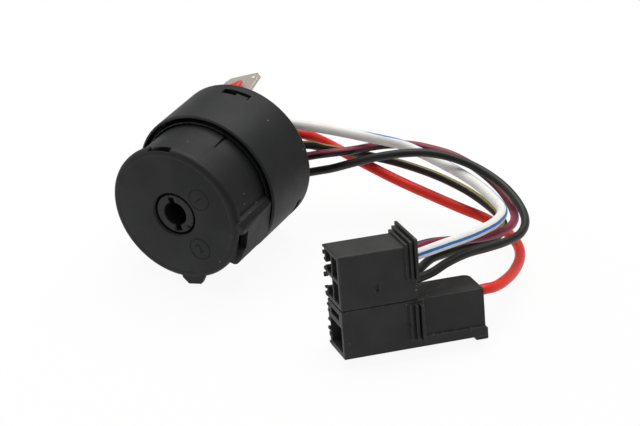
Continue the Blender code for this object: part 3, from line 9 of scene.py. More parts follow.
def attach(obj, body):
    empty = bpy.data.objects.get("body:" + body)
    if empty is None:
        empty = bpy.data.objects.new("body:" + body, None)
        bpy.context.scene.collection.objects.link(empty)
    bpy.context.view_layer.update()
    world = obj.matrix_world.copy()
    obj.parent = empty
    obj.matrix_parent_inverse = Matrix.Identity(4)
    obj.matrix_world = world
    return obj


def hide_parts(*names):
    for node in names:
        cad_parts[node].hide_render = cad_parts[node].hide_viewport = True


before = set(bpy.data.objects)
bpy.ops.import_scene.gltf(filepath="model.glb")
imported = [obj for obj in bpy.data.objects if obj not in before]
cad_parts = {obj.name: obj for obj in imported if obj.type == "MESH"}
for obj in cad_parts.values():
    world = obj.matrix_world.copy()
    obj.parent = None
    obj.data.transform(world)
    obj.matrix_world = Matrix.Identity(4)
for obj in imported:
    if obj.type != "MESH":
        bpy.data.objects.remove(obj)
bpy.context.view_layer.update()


# Table, lamps and camera
# The switch lies on a plain pale table under one wide soft lamp, with a weaker lamp from the left and
# the room's own light round it. The camera stands far off with a long lens, as for a catalogue picture.

class Amount:
    """A number, direction or colour inside a finish. Sums written on it become Math nodes."""

    def __init__(self, finish, socket):
        self.finish = finish
        self.socket = socket

    def math(self, operation, *terms):
        return self.finish.add("ShaderNodeMath", {"operation": operation}, dict(enumerate(terms)))

    def __add__(self, other):
        return self.math("ADD", self, other)

    def __radd__(self, other):
        return self.math("ADD", other, self)

    def __sub__(self, other):
        return self.math("SUBTRACT", self, other)

    def __rsub__(self, other):
        return self.math("SUBTRACT", other, self)

    def __mul__(self, other):
        return self.math("MULTIPLY", self, other)

    def __rmul__(self, other):
        return self.math("MULTIPLY", other, self)

    def within(self, none, full):
        """0 at none and 1 at full, with a soft step between them."""
        settings = {"interpolation_type": "SMOOTHSTEP"}
        sockets = {"Value": self, "From Min": none, "From Max": full}
        return self.finish.add("ShaderNodeMapRange", settings, sockets)


def new_node(tree, kind, settings=None, sockets=None):
    """One node: its settings first, then the values and links of its sockets."""
    node = tree.nodes.new(kind)
    for name, value in (settings or {}).items():
        setattr(node, name, value)
    for name, value in (sockets or {}).items():
        if isinstance(value, Amount):
            value = value.socket
        if isinstance(value, bpy.types.NodeSocket):
            tree.links.new(value, node.inputs[name])
        else:
            node.inputs[name].default_value = value
    return node


class Finish:
    """One material while it is put together."""

    def __init__(self, name):
        self.material = bpy.data.materials.new(name)
        self.material.use_nodes = True
        self.tree = self.material.node_tree
        self.tree.nodes.clear()

    def add(self, kind, settings=None, sockets=None, output=0):
        node = new_node(self.tree, kind, settings, sockets)
        if len(node.outputs):
            return Amount(self, node.outputs[output])

    def place(self):
        """Where on the object a point is, in metres."""
        return self.add("ShaderNodeTexCoord", output="Object")

    def cloud(self, per_metre, detail=2.0, stretch=(1, 1, 1)):
        """Soft uneven noise from 0 to 1."""
        spot = self.add("ShaderNodeVectorMath", {"operation": "MULTIPLY"}, {0: self.place(), 1: stretch})
        return self.add("ShaderNodeTexNoise", None, {"Vector": spot, "Scale": per_metre, "Detail": detail})

    def mix(self, share, first, second):
        """One colour where share is 0, the other where it is 1."""
        return self.add("ShaderNodeMix", {"data_type": "RGBA"}, {0: share, 6: first, 7: second}, 2)

    def seen(self):
        """1 for what the camera, a reflection or clear plastic sees, 0 for what lights the object."""
        rays = [self.add("ShaderNodeLightPath", output=name)
                for name in ("Is Camera Ray", "Is Glossy Ray", "Is Transmission Ray")]
        return rays[0].math("MINIMUM", rays[0] + rays[1] + rays[2], 1.0)

    def close(self, shader):
        self.add("ShaderNodeOutputMaterial", None, {"Surface": shader})
        return self.material


bpy.context.scene.view_settings.view_transform = "Standard"

LENS = 135.0
FILM_WIDTH = 36.0
NEAREST = 0.05
CAMERA_PLACE = (0.26276, -0.42865, 0.32435)
CAMERA_LOOK = (-0.407, 0.741, -0.534)

camera_data = bpy.data.cameras.new("camera")
camera_data.lens = LENS
camera_data.sensor_width = FILM_WIDTH
camera_data.clip_start = NEAREST
camera = bpy.data.objects.new("camera", camera_data)
camera.location = CAMERA_PLACE
camera.rotation_euler = Vector(CAMERA_LOOK).to_track_quat("-Z", "Y").to_euler()
bpy.context.scene.collection.objects.link(camera)
bpy.context.scene.camera = camera

TABLE_HALF = 1.5
TABLE_COLOUR = (0.86, 0.86, 0.86, 1)
WHITE = (1.0, 1.0, 1.0, 1)
SHADOW_LIFT = 0.93

table_mesh = bpy.data.meshes.new("table")
table_corners = [(x * TABLE_HALF, y * TABLE_HALF, 0) for x, y in ((-1, -1), (1, -1), (1, 1), (-1, 1))]
table_mesh.from_pydata(table_corners, [], [(0, 1, 2, 3)])
table = bpy.data.objects.new("table", table_mesh)
bpy.context.scene.collection.objects.link(table)
paper = Finish("white_paper")
paper_lit = paper.add("ShaderNodeBsdfDiffuse", None, {"Color": TABLE_COLOUR})
paper_white = paper.add("ShaderNodeEmission", None, {"Color": WHITE, "Strength": 1.0})
table_mesh.materials.append(paper.close(
    paper.add("ShaderNodeMixShader", None, {0: paper.seen() * SHADOW_LIFT, 1: paper_lit, 2: paper_white})))

ROOM_COLOUR = (0.98, 0.99, 1.0, 1)
ROOM_LEVEL = 0.36

room = bpy.data.worlds.new("room")
room.use_nodes = True
room.node_tree.nodes.clear()
bpy.context.scene.world = room
room_rays = new_node(room.node_tree, "ShaderNodeLightPath")
room_light = new_node(room.node_tree, "ShaderNodeBackground", None,
                      {"Color": ROOM_COLOUR, "Strength": ROOM_LEVEL})
room_white = new_node(room.node_tree, "ShaderNodeBackground", None, {"Color": WHITE, "Strength": 1.0})
room_mix = new_node(room.node_tree, "ShaderNodeMixShader", None, {
    0: room_rays.outputs["Is Camera Ray"], 1: room_light.outputs[0], 2: room_white.outputs[0]})
new_node(room.node_tree, "ShaderNodeOutputWorld", None, {"Surface": room_mix.outputs[0]})


def hang_lamp(name, place, aim, width, watts, colour):
    lamp = bpy.data.lights.new(name, "AREA")
    lamp.size = width
    lamp.energy = watts
    lamp.color = colour
    holder = bpy.data.objects.new(name, lamp)
    holder.location = place
    holder.rotation_euler = (Vector(aim) - Vector(place)).to_track_quat("-Z", "Y").to_euler()
    bpy.context.scene.collection.objects.link(holder)


MIDDLE = (0.025, 0.0, 0.015)
hang_lamp("top_lamp", (-0.05, 0.25, 0.70), MIDDLE, 0.70, 5.6, (1.0, 0.99, 0.97))
hang_lamp("left_lamp", (-0.60, -0.25, 0.35), MIDDLE, 0.45, 0.9, (1.0, 1.0, 1.0))


# Wires
# Five stranded copper wires in PVC insulation, two heavy and three fine. Each is crimped to a contact
# in the switch, leaves the cap through a hole of its own, and bends round in a short loop to its cavity.

FINE = 0.0021
HEAVY = 0.0026
WIRE_SIDES = 28
WIRE_STEP = 0.0011
CURVE_PARTS = 30
WIRES = {
    "white_blue": {
        "diameter": HEAVY,
        "slot": "insulation_white",
        "receptacle": 1,
        "stripe": [(0.0, (0.3, 0.3, -0.9)), (0.45, (0.55, 0.445, 0.75)), (0.60, (0.75, 0.1, 0.6)),
                   (0.70, (0.784, -0.39, 0.454)), (0.78, (0.445, -0.81, 0.382)),
                   (1.0, (0.445, -0.81, 0.382))],
        "route": [
            (0.0046, 0.0087, 0.02579), (0.0046, 0.0108, 0.02579), (0.0063, 0.0175, 0.0256),
            (0.0106, 0.0197, 0.0253), (0.0178, 0.0237, 0.0238), (0.0252, 0.0278, 0.0218),
            (0.0319, 0.0327, 0.0191), (0.0372, 0.0338, 0.0176), (0.044, 0.0331, 0.0166),
            (0.0525, 0.0304, 0.0162), (0.0605, 0.0256, 0.0164), (0.0664, 0.0197, 0.0172),
            (0.0682, 0.0125, 0.0186), (0.0676, 0.0052, 0.02), (0.0663, -0.0011, 0.0212),
            (0.0646, -0.0067, 0.0222), (0.0629, -0.0117, 0.0229), (0.06034, -0.01555, 0.02262),
            (0.05859, -0.01733, 0.02262),
        ],
    },
    "red": {
        "diameter": HEAVY,
        "slot": "insulation_red",
        "receptacle": 2,
        "stripe": None,
        "route": [
            (0.00501, 0.0087, 0.02161), (0.00501, 0.0108, 0.02161), (0.0065, 0.0212, 0.0211),
            (0.0103, 0.0233, 0.0206), (0.0133, 0.0277, 0.017), (0.0183, 0.0296, 0.0142),
            (0.024, 0.0302, 0.0122), (0.0338, 0.0294, 0.0106), (0.0428, 0.03, 0.0086),
            (0.0505, 0.0308, 0.0068), (0.0567, 0.0318, 0.0052), (0.0627, 0.0307, 0.004),
            (0.0675, 0.0273, 0.0036), (0.0709, 0.0215, 0.0042), (0.0733, 0.0128, 0.006),
            (0.0744, 0.0048, 0.0082), (0.0742, -0.0006, 0.0096), (0.0731, -0.0037, 0.0105),
            (0.07208, -0.0048, 0.01034), (0.06471, -0.01227, 0.01034),
        ],
    },
    "black": {
        "diameter": FINE,
        "slot": "insulation_black",
        "receptacle": 3,
        "stripe": None,
        "route": [
            (0.00857, 0.0087, 0.01163), (0.00857, 0.0108, 0.01163), (0.0096, 0.0146, 0.0119),
            (0.0122, 0.0174, 0.0127), (0.016, 0.0196, 0.0136), (0.0197, 0.0204, 0.015),
            (0.0248, 0.0216, 0.0174), (0.0309, 0.0238, 0.0198), (0.0365, 0.0265, 0.021),
            (0.0418, 0.0295, 0.021), (0.0476, 0.0317, 0.02), (0.0541, 0.0325, 0.0184),
            (0.0612, 0.0309, 0.0168), (0.0672, 0.0273, 0.0154), (0.0716, 0.0219, 0.0148),
            (0.0731, 0.016, 0.0148), (0.0721, 0.01, 0.0156), (0.0701, 0.0042, 0.0166),
            (0.0675, -0.0019, 0.0176), (0.0653, -0.0079, 0.0178), (0.0638, -0.0127, 0.0174),
            (0.06141, -0.0166, 0.01702), (0.05966, -0.01838, 0.01702),
        ],
    },
    "black_yellow": {
        "diameter": FINE,
        "slot": "insulation_black_yellow",
        "receptacle": 4,
        "stripe": [(0.0, (-0.2, 0.1, 1.0)), (0.5, (-0.2, 0.25, 0.9)), (0.75, (-0.7, 0.1, 0.6)),
                   (1.0, (-0.8, 0.3, -0.5))],
        "route": [
            (0.00839, 0.0087, 0.0194), (0.00839, 0.0108, 0.0194), (0.0097, 0.0183, 0.0196),
            (0.0129, 0.0204, 0.0198), (0.015, 0.0231, 0.0183), (0.0184, 0.0252, 0.0174),
            (0.0214, 0.027, 0.0166), (0.0248, 0.0298, 0.0152), (0.0316, 0.0336, 0.013),
            (0.0404, 0.0346, 0.0118), (0.049, 0.0335, 0.011), (0.0559, 0.0312, 0.0104),
            (0.062, 0.0275, 0.0102), (0.0658, 0.0227, 0.0106), (0.0666, 0.0165, 0.0116),
            (0.065, 0.0103, 0.0128), (0.0629, 0.0037, 0.0142), (0.0612, -0.0021, 0.0154),
            (0.0602, -0.0064, 0.0162), (0.0594, -0.0122, 0.0159), (0.05811, -0.01335, 0.01578),
            (0.05636, -0.01513, 0.01578),
        ],
    },
    "violet_black": {
        "diameter": FINE,
        "slot": "insulation_violet",
        "receptacle": 5,
        "stripe": [(0.0, (0.3, -0.5, -0.7)), (0.5, (0.4, -0.5, -0.7)), (0.8, (-0.7, 0.1, -0.6)),
                   (1.0, (-0.5, 0.6, 0.4))],
        "route": [
            (0.0098, 0.0087, 0.016), (0.0098, 0.0108, 0.016), (0.0112, 0.0169, 0.017),
            (0.0148, 0.0191, 0.018), (0.0175, 0.0195, 0.019), (0.0205, 0.0207, 0.0197),
            (0.0236, 0.024, 0.0195), (0.0258, 0.031, 0.0176), (0.0287, 0.0357, 0.0165),
            (0.0327, 0.0385, 0.016), (0.0378, 0.0396, 0.0157), (0.0437, 0.04, 0.0152),
            (0.0509, 0.0383, 0.0144), (0.0581, 0.035, 0.0132), (0.0638, 0.0303, 0.0124),
            (0.0674, 0.0252, 0.0124), (0.0686, 0.0194, 0.0132), (0.0678, 0.0131, 0.0146),
            (0.0661, 0.0078, 0.016), (0.0641, 0.003, 0.0176), (0.0621, -0.0015, 0.0192),
            (0.0602, -0.0062, 0.0208), (0.0582, -0.0111, 0.0217), (0.05704, -0.0123, 0.02138),
            (0.05529, -0.01408, 0.02138),
        ],
    },
}


def smooth_run(points, step):
    """A smooth curve through the route's points, read at even steps."""
    spans = [(after - before).length ** 0.5 for before, after in zip(points, points[1:])]
    times = [0.0]
    for span in spans:
        times.append(times[-1] + span)
    slopes = []
    for index in range(len(points)):
        before = max(index - 1, 0)
        after = min(index + 1, len(points) - 1)
        slopes.append((points[after] - points[before]) / (times[after] - times[before]))
    fine = [points[0]]
    for index, span in enumerate(spans):
        for part in range(1, CURVE_PARTS + 1):
            share = part / CURVE_PARTS
            square = share ** 2
            cube = share ** 3
            spot = points[index] * (2 * cube - 3 * square + 1) + points[index + 1] * (3 * square - 2 * cube)
            lean = slopes[index] * (cube - 2 * square + share) + slopes[index + 1] * (cube - square)
            fine.append(spot + lean * span)
    run = [fine[0]]
    walked = 0.0
    for before, after in zip(fine, fine[1:]):
        walked += (after - before).length
        if walked >= step:
            run.append(after)
            walked = 0.0
    run[-1] = fine[-1]
    return run


def new_tree(name, inputs):
    """A geometry tree with named inputs and one shape as its result."""
    tree = bpy.data.node_groups.new(name, "GeometryNodeTree")
    for label, kind in inputs.items():
        tree.interface.new_socket(label, in_out="INPUT", socket_type=f"NodeSocket{kind}")
    tree.interface.new_socket("Geometry", in_out="OUTPUT", socket_type="NodeSocketGeometry")
    return tree


def grow(name, mesh, tree, sizes):
    """Runs a geometry tree on a mesh, and keeps what it makes as a plain mesh object."""
    piece = bpy.data.objects.new(name, mesh)
    bpy.context.scene.collection.objects.link(piece)
    modifier = piece.modifiers.new(tree.name, "NODES")
    modifier.node_group = tree
    for item in tree.interface.items_tree:
        if item.in_out == "INPUT" and item.name in sizes:
            modifier[item.identifier] = sizes[item.name]
    grown = bpy.data.meshes.new_from_object(piece.evaluated_get(bpy.context.evaluated_depsgraph_get()))
    piece.modifiers.clear()
    piece.data = grown
    grown.name = name
    return piece


wire_tree = new_tree("insulated_wire", {
    "Geometry": "Geometry", "Diameter": "Float", "Sides": "Int", "Surface": "Material"})


wire_in = new_node(wire_tree, "NodeGroupInput")
line = new_node(wire_tree, "GeometryNodeMeshToCurve", None, {"Mesh": wire_in.outputs["Geometry"]})
turned = new_node(wire_tree, "GeometryNodeSetCurveNormal", None, {"Curve": line.outputs["Curve"]})
middle = new_node(wire_tree, "GeometryNodeCaptureAttribute")
middle.capture_items.new("VECTOR", "Middle")
spot = new_node(wire_tree, "GeometryNodeInputPosition")
wire_tree.links.new(turned.outputs["Curve"], middle.inputs["Geometry"])
wire_tree.links.new(spot.outputs["Position"], middle.inputs["Middle"])
radius = new_node(wire_tree, "ShaderNodeMath", {"operation": "MULTIPLY"},
                  {0: wire_in.outputs["Diameter"], 1: 0.5})
ring = new_node(wire_tree, "GeometryNodeCurvePrimitiveCircle", None,
                 {"Resolution": wire_in.outputs["Sides"], "Radius": radius.outputs[0]})
skin = new_node(wire_tree, "GeometryNodeCurveToMesh", None, {
    "Curve": middle.outputs["Geometry"], "Profile Curve": ring.outputs["Curve"], "Fill Caps": True})
outward = new_node(wire_tree, "ShaderNodeVectorMath", {"operation": "SUBTRACT"},
                    {0: spot.outputs["Position"], 1: middle.outputs["Middle"]})
unit = new_node(wire_tree, "ShaderNodeVectorMath", {"operation": "NORMALIZE"},
                {0: outward.outputs["Vector"]})
stripe_way = new_node(wire_tree, "GeometryNodeInputNamedAttribute", {"data_type": "FLOAT_VECTOR"},
                       {"Name": "stripe_way"})
facing = new_node(wire_tree, "ShaderNodeVectorMath", {"operation": "DOT_PRODUCT"},
                   {0: unit.outputs["Vector"], 1: stripe_way.outputs["Attribute"]})
stored = new_node(wire_tree, "GeometryNodeStoreNamedAttribute", {"data_type": "FLOAT", "domain": "POINT"}, {
    "Geometry": skin.outputs["Mesh"], "Name": "stripe_side", "Value": facing.outputs["Value"]})
smooth = new_node(wire_tree, "GeometryNodeSetShadeSmooth", None, {"Geometry": stored.outputs["Geometry"]})
real = new_node(wire_tree, "GeometryNodeRealizeInstances", None, {"Geometry": smooth.outputs["Geometry"]})
dyed = new_node(wire_tree, "GeometryNodeSetMaterial", None,
                 {"Geometry": real.outputs["Geometry"], "Material": wire_in.outputs["Surface"]})
new_node(wire_tree, "NodeGroupOutput", None, {"Geometry": dyed.outputs["Geometry"]})


def insulation(name, colour, deeper, stripe=None, stripe_edge=None):
    """Extruded PVC: an even colour with slight clouds, a fine matt skin, and a printed stripe."""
    finish = Finish(name)
    tone = finish.mix(finish.cloud(260, 3.0).within(0.35, 0.7), colour, deeper)
    if stripe:
        side = finish.add("ShaderNodeAttribute", {"attribute_name": "stripe_side"}, None, "Fac")
        wander = side + (finish.cloud(700, 2.0) - 0.5) * 0.06
        tone = finish.mix(wander.within(*stripe_edge), tone, stripe)
    rough = finish.cloud(420, 2.0) * 0.12 + 0.36
    skin_noise = finish.cloud(2600, 2.0)
    bump = finish.add("ShaderNodeBump", None, {"Strength": 0.12, "Distance": 0.00005, "Height": skin_noise})
    return finish.close(finish.add("ShaderNodeBsdfPrincipled", None, {
        "Base Color": tone, "Roughness": rough, "Normal": bump, "IOR": 1.5, "Specular IOR Level": 0.36}))


BLACK_PVC = (0.010, 0.009, 0.008, 1)
FADED_PVC = (0.015, 0.0135, 0.012, 1)
insulations = {
    "white_blue": insulation("insulation_white", (0.86, 0.85, 0.83, 1), (0.80, 0.78, 0.76, 1),
                             (0.012, 0.17, 0.52, 1), (0.945, 0.965)),
    "red": insulation("insulation_red", (0.86, 0.030, 0.014, 1), (0.80, 0.022, 0.01, 1)),
    "black": insulation("insulation_black", BLACK_PVC, FADED_PVC),
    "black_yellow": insulation("insulation_black_yellow", BLACK_PVC, FADED_PVC,
                               (0.26, 0.22, 0.055, 1), (0.80, 0.84)),
    "violet_black": insulation("insulation_violet", (0.27, 0.036, 0.07, 1), (0.23, 0.03, 0.06, 1),
                               (0.010, 0.009, 0.009, 1), (0.02, 0.08)),
}

wire_pieces = {}
for name, wire in WIRES.items():
    run = smooth_run([Vector(point) for point in wire["route"]], WIRE_STEP)
    wire_line = bpy.data.meshes.new(f"{name}_line")
    wire_line.from_pydata(run, [(index, index + 1) for index in range(len(run) - 1)], [])
    ways = wire_line.attributes.new("stripe_way", "FLOAT_VECTOR", "POINT")
    if wire["stripe"]:
        hints = wire["stripe"]
        for index in range(len(run)):
            share = index / (len(run) - 1)
            along = run[min(index + 1, len(run) - 1)] - run[max(index - 1, 0)]
            for (start, first), (stop, second) in zip(hints, hints[1:]):
                if start <= share <= stop:
                    way = Vector(first).lerp(Vector(second), (share - start) / (stop - start))
            way -= way.project(along)
            ways.data[index].vector = way.normalized()
    piece = grow(f"{name}_wire", wire_line, wire_tree,
                 {"Diameter": wire["diameter"], "Sides": WIRE_SIDES, "Surface": insulations[name]})
    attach(piece, "switch_body")
    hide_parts(f"wire_{name}")
    length = sum((after - before).length for before, after in zip(run, run[1:]))
    wire_pieces[name] = (piece, run, length)


# Front housing
# A cup moulded in black plastic: the drive face with its rounded rim, the barrel that the rotor turns
# in, the flat-topped locating pad, the tab and slot of the rim, and the lugs that the cap snaps over.

MERGE = 0.000002
FLAT = 0.3
CREASE = 33.0
FACE_BACK = -0.0223
AXIS_HEIGHT = 0.019


def switch_place(clock=0.0):
    """From millimetres: X outward at a clock angle, Y down across it, Z back from the drive face."""
    axis = Matrix.Translation((0, FACE_BACK, AXIS_HEIGHT)) @ Matrix.Rotation(math.radians(-90), 4, "X")
    return axis @ Matrix.Rotation(math.radians(-clock), 4, "Z") @ Matrix.Scale(0.001, 4)


def joined_copy(node, name):
    """A copy of a CAD solid with its loose triangles joined."""
    mesh = bpy.data.meshes.new(name)
    shape = bmesh.new()
    shape.from_mesh(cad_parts[node].data)
    bmesh.ops.remove_doubles(shape, verts=shape.verts, dist=MERGE)
    shape.to_mesh(mesh)
    shape.free()
    piece = bpy.data.objects.new(name, mesh)
    bpy.context.scene.collection.objects.link(piece)
    return piece


def plain_mesh(piece):
    """Keeps what a piece's modifiers make as its mesh."""
    mesh = bpy.data.meshes.new_from_object(piece.evaluated_get(bpy.context.evaluated_depsgraph_get()))
    piece.modifiers.clear()
    piece.data = mesh


class Bodies:
    """Plain closed bodies that are joined to a piece or cut from it."""

    def __init__(self):
        self.shape = bmesh.new()

    def skin(self, rings, closed):
        pairs = list(zip(rings, rings[1:]))
        if closed:
            pairs.append((rings[-1], rings[0]))
        for ring, following in pairs:
            for index in range(len(ring)):
                after = (index + 1) % len(ring)
                self.shape.faces.new((ring[index], ring[after], following[after], following[index]))

    def turned(self, outline, place, steps=96):
        """Turns a closed (radius, back) outline round the axis."""
        rings = []
        for radius, back in outline:
            turns = [2 * math.pi * step / steps for step in range(steps)]
            spots = [Vector((radius * math.cos(turn), radius * math.sin(turn), back)) for turn in turns]
            rings.append([self.shape.verts.new(place @ spot) for spot in spots])
        self.skin(rings, True)

    def prism(self, outline, low, high, place):
        """Extrudes an (x, y) outline from one height to another."""
        rings = [[self.shape.verts.new(place @ Vector((x, y, height))) for x, y in outline]
                 for height in (low, high)]
        self.skin(rings, False)
        self.shape.faces.new(rings[0])
        self.shape.faces.new(rings[1])

    def block(self, x, y, z, place):
        self.prism([(x[0], y[0]), (x[1], y[0]), (x[1], y[1]), (x[0], y[1])], *z, place)

    def piece(self, name):
        """An object of its own, with its faces pointing out."""
        bmesh.ops.recalc_face_normals(self.shape, faces=self.shape.faces)
        mesh = bpy.data.meshes.new(name)
        self.shape.to_mesh(mesh)
        self.shape.free()
        made = bpy.data.objects.new(name, mesh)
        bpy.context.scene.collection.objects.link(made)
        return made

    def join_to(self, piece):
        """Adds the bodies to a piece's mesh."""
        bmesh.ops.recalc_face_normals(self.shape, faces=self.shape.faces)
        self.shape.from_mesh(piece.data)
        self.shape.to_mesh(piece.data)
        self.shape.free()

    def cut_from(self, piece):
        """Takes the bodies out of a piece."""
        tool = self.piece("tool")
        boolean = piece.modifiers.new("cut", "BOOLEAN")
        boolean.operation = "DIFFERENCE"
        boolean.solver = "EXACT"
        boolean.object = tool
        plain_mesh(piece)
        bpy.data.objects.remove(tool, do_unlink=True)


def round_outline(radius, steps):
    turns = [math.tau * step / steps for step in range(steps)]
    return [(radius * math.cos(turn), radius * math.sin(turn)) for turn in turns]


def evened(piece, crease=CREASE):
    """Flat faces made whole, round faces shaded as round, and sharp edges kept sharp."""
    shape = bmesh.new()
    shape.from_mesh(piece.data)
    bmesh.ops.remove_doubles(shape, verts=shape.verts, dist=MERGE)
    bmesh.ops.dissolve_limit(shape, angle_limit=math.radians(FLAT), verts=shape.verts, edges=shape.edges)
    bmesh.ops.triangulate(shape, faces=[face for face in shape.faces if len(face.verts) > 4])
    for face in shape.faces:
        face.smooth = True
    shape.to_mesh(piece.data)
    shape.free()
    piece.data.set_sharp_from_angle(angle=math.radians(crease))
    weighted = piece.modifiers.new("even_shading", "WEIGHTED_NORMAL")
    weighted.keep_sharp = True


def moulded_plastic(name, colour, edge_wear_and_highlight, roughness, grain, dusty=True):
    """Matt moulded plastic: mould grain, soft clouds, edges lightened partly as rubbed wear and partly as a
    painted highlight, and specks of dust.
    """
    finish = Finish(name)
    rounded = finish.add("ShaderNodeBevel", {"samples": 6}, {"Radius": 0.00028})
    flat = finish.add("ShaderNodeNewGeometry", output="Normal")
    alike = finish.add("ShaderNodeVectorMath", {"operation": "DOT_PRODUCT"}, {0: rounded, 1: flat}, 1)
    edge = (1.0 - alike).within(0.004, 0.10) * finish.cloud(900, 3.0).within(0.25, 0.75)
    clouds = finish.cloud(150, 4.0).within(0.3, 0.72)
    darker = tuple(part * 0.80 for part in colour[:3]) + (1,)
    tone = finish.mix(clouds, darker, colour)
    # Lighter edges: partly rubbed wear, partly a painted highlight standing in for the bright lines light
    # draws along edges.
    tone = finish.mix(edge * 0.55, tone, edge_wear_and_highlight)
    if dusty:
        cells = finish.add("ShaderNodeTexVoronoi", None, {"Vector": finish.place(), "Scale": 240.0})
        speck = cells.within(0.045, 0.028)
        tone = finish.mix(speck * 0.7, tone, (0.36, 0.35, 0.34, 1))
    scuff = finish.cloud(300, 5.0, (1, 6, 1)).within(0.60, 0.78)
    rough = roughness - edge * 0.12 + scuff * 0.06 - clouds * 0.05
    fine = finish.cloud(grain, 3.0)
    bump = finish.add("ShaderNodeBump", None,
                      {"Strength": 0.35, "Distance": 0.00006, "Height": fine, "Normal": rounded})
    return finish.close(finish.add("ShaderNodeBsdfPrincipled", None, {
        "Base Color": tone, "Roughness": rough, "Normal": bump, "IOR": 1.5, "Specular IOR Level": 0.30}))


def stand_for(piece, node, material, body):
    """Gives a piece its finish and its body, and lets it take a CAD solid's place."""
    piece.data.materials.clear()
    piece.data.materials.append(material)
    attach(piece, body)
    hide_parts(node)


BARREL = 16.6
LIP = 17.42
LIP_END = 1.9
LIP_RAISE = 0.02
LIP_ROOT = 15.7
OLD_LIP_ROOT = 15.95
CLEAR = 20.5
RIM_ROUND = 1.3
RIM_STEPS = 6
KEY_HOLE = 5.6
KEY_HOLE_EDGE = 0.4
KEY_WALL = 2.3
KEY_REACH = 6.7
KEY_STEP = (0.1, 1.0)
CAP_FRONT = 14.6
CLEAR_OF_CAP = 14.3
PAD_CLOCK = -7.0
PAD_TOP = 18.2
PAD_FRONT = 0.4
PAD_HIGH = -4.5
PAD_LOW = 7.2
PAD_ROOT = 14.6
PAD_CHAMFERS = (1.2, 1.0, 0.5)
PAD_SLOPE = (1.0, 1.2)
PAD_POCKET = (15.0, 19.2)
POCKET_ACROSS = (-1.35, 3.75)
POCKET_BACK = 3.3
PLUNGER_HOLE = 2.0
PLUNGER_BACK = 8.0
PLUNGER_POCKET = (13.2, 17.0)
HOLE_STEPS = 32
RIM_TAB_CLOCK = -74.0
RIM_TAB_TOP = 18.9
RIM_TAB_ROOT = 15.6
RIM_TAB_BEND = 17.2
RIM_TAB_HALF = (3.1, 1.8)
RIM_TAB_BACK = (0.1, 1.5)
RIM_SLOT_CLOCK = 103.5
RIM_SLOT_FLOOR = 15.1
RIM_SLOT_HALF = 3.1
RIM_SLOT_BACK = (0.25, 3.0)
SLIT_CLOCK = 69.0
SLIT_FLOOR = 16.1
SLIT_TOP = 17.6
SLIT_HALF = 0.45
SLIT_BACK = (-0.6, 4.0)
SNAP_CLOCKS = (88.6, -31.0, 209.0)
LUG_TURN = -5.0
LUG_TOP = 18.6
LUG_ROOT = 16.0
LUG_HALF = 1.6
LUG_BACK = (28.3, 29.4)

front = joined_copy("front_housing", "housing_moulding")
axis = switch_place()
for corner in front.data.vertices:
    spot = axis.inverted() @ corner.co
    reach = math.hypot(spot.x, spot.y)
    if spot.z < KEY_WALL + 0.2 and reach < KEY_REACH:
        closer = (KEY_HOLE + KEY_HOLE_EDGE if spot.z < KEY_STEP[0] else KEY_HOLE) / reach
        depth = KEY_HOLE_EDGE if KEY_STEP[0] < spot.z < KEY_STEP[1] else spot.z
        corner.co = axis @ Vector((spot.x * closer, spot.y * closer, depth))
old_front = Bodies()
old_front.turned([(OLD_LIP_ROOT, -1.0), (CLEAR, -1.0), (CLEAR, CLEAR_OF_CAP + 0.1),
                  (BARREL + 0.012, CLEAR_OF_CAP + 0.1), (BARREL + 0.012, 1.0), (OLD_LIP_ROOT, 1.0)], axis)
old_front.cut_from(front)

lip = Bodies()
turns = [math.radians(90) * step / RIM_STEPS for step in range(RIM_STEPS + 1)]
rim = [(LIP - RIM_ROUND * (1 - math.sin(turn)), RIM_ROUND * (1 - math.cos(turn)) - LIP_RAISE)
       for turn in turns]
lip.turned([(LIP_ROOT, 1.5), (LIP_ROOT, -LIP_RAISE), *rim, (LIP, LIP_END), (16.2, LIP_END)], axis)
lip_ring = lip.piece("lip_ring")
pad = Bodies()
upper, lower, lower_drop = PAD_CHAMFERS
pad.prism([(PAD_ROOT, PAD_HIGH), (PAD_TOP - upper, PAD_HIGH), (PAD_TOP, PAD_HIGH + upper),
           (PAD_TOP, PAD_LOW - lower), (PAD_TOP - lower_drop, PAD_LOW), (PAD_ROOT, PAD_LOW)],
          PAD_FRONT, CLEAR_OF_CAP, switch_place(PAD_CLOCK))
pad_block = pad.piece("pad_block")
outward = Matrix.Translation((0, 0, PLUNGER_BACK)) @ Matrix.Rotation(math.radians(90), 4, "Y")
sideways = Matrix.Rotation(math.radians(90), 4, "X")
pad_end = Bodies()
drop, slope_back = PAD_SLOPE
pad_end.prism([(PAD_TOP - drop, PAD_FRONT - drop), (PAD_TOP + drop, PAD_FRONT - drop),
               (PAD_TOP + drop, PAD_FRONT + slope_back), (PAD_TOP, PAD_FRONT + slope_back),
               (PAD_TOP - drop, PAD_FRONT)],
              -PAD_LOW - drop, drop - PAD_HIGH, switch_place(PAD_CLOCK) @ sideways)
pad_end.prism(round_outline(PLUNGER_HOLE, HOLE_STEPS), *PLUNGER_POCKET, switch_place(PAD_CLOCK) @ outward)
pad_end.cut_from(pad_block)
for part in (front, lip_ring, pad_block):
    openings = Bodies()
    openings.block(PAD_POCKET, POCKET_ACROSS, (PAD_FRONT + 0.3, PAD_FRONT + POCKET_BACK),
                   switch_place(PAD_CLOCK))
    openings.block((RIM_SLOT_FLOOR, LIP + 1.0), (-RIM_SLOT_HALF, RIM_SLOT_HALF), RIM_SLOT_BACK,
                   switch_place(RIM_SLOT_CLOCK))
    openings.block((SLIT_FLOOR, SLIT_TOP), (-SLIT_HALF, SLIT_HALF),
                   (CAP_FRONT + SLIT_BACK[0], CAP_FRONT + SLIT_BACK[1]), switch_place(SLIT_CLOCK))
    openings.cut_from(part)
added = Bodies()
for part in (lip_ring, pad_block):
    added.shape.from_mesh(part.data)
    bpy.data.objects.remove(part)
foot, top = RIM_TAB_HALF
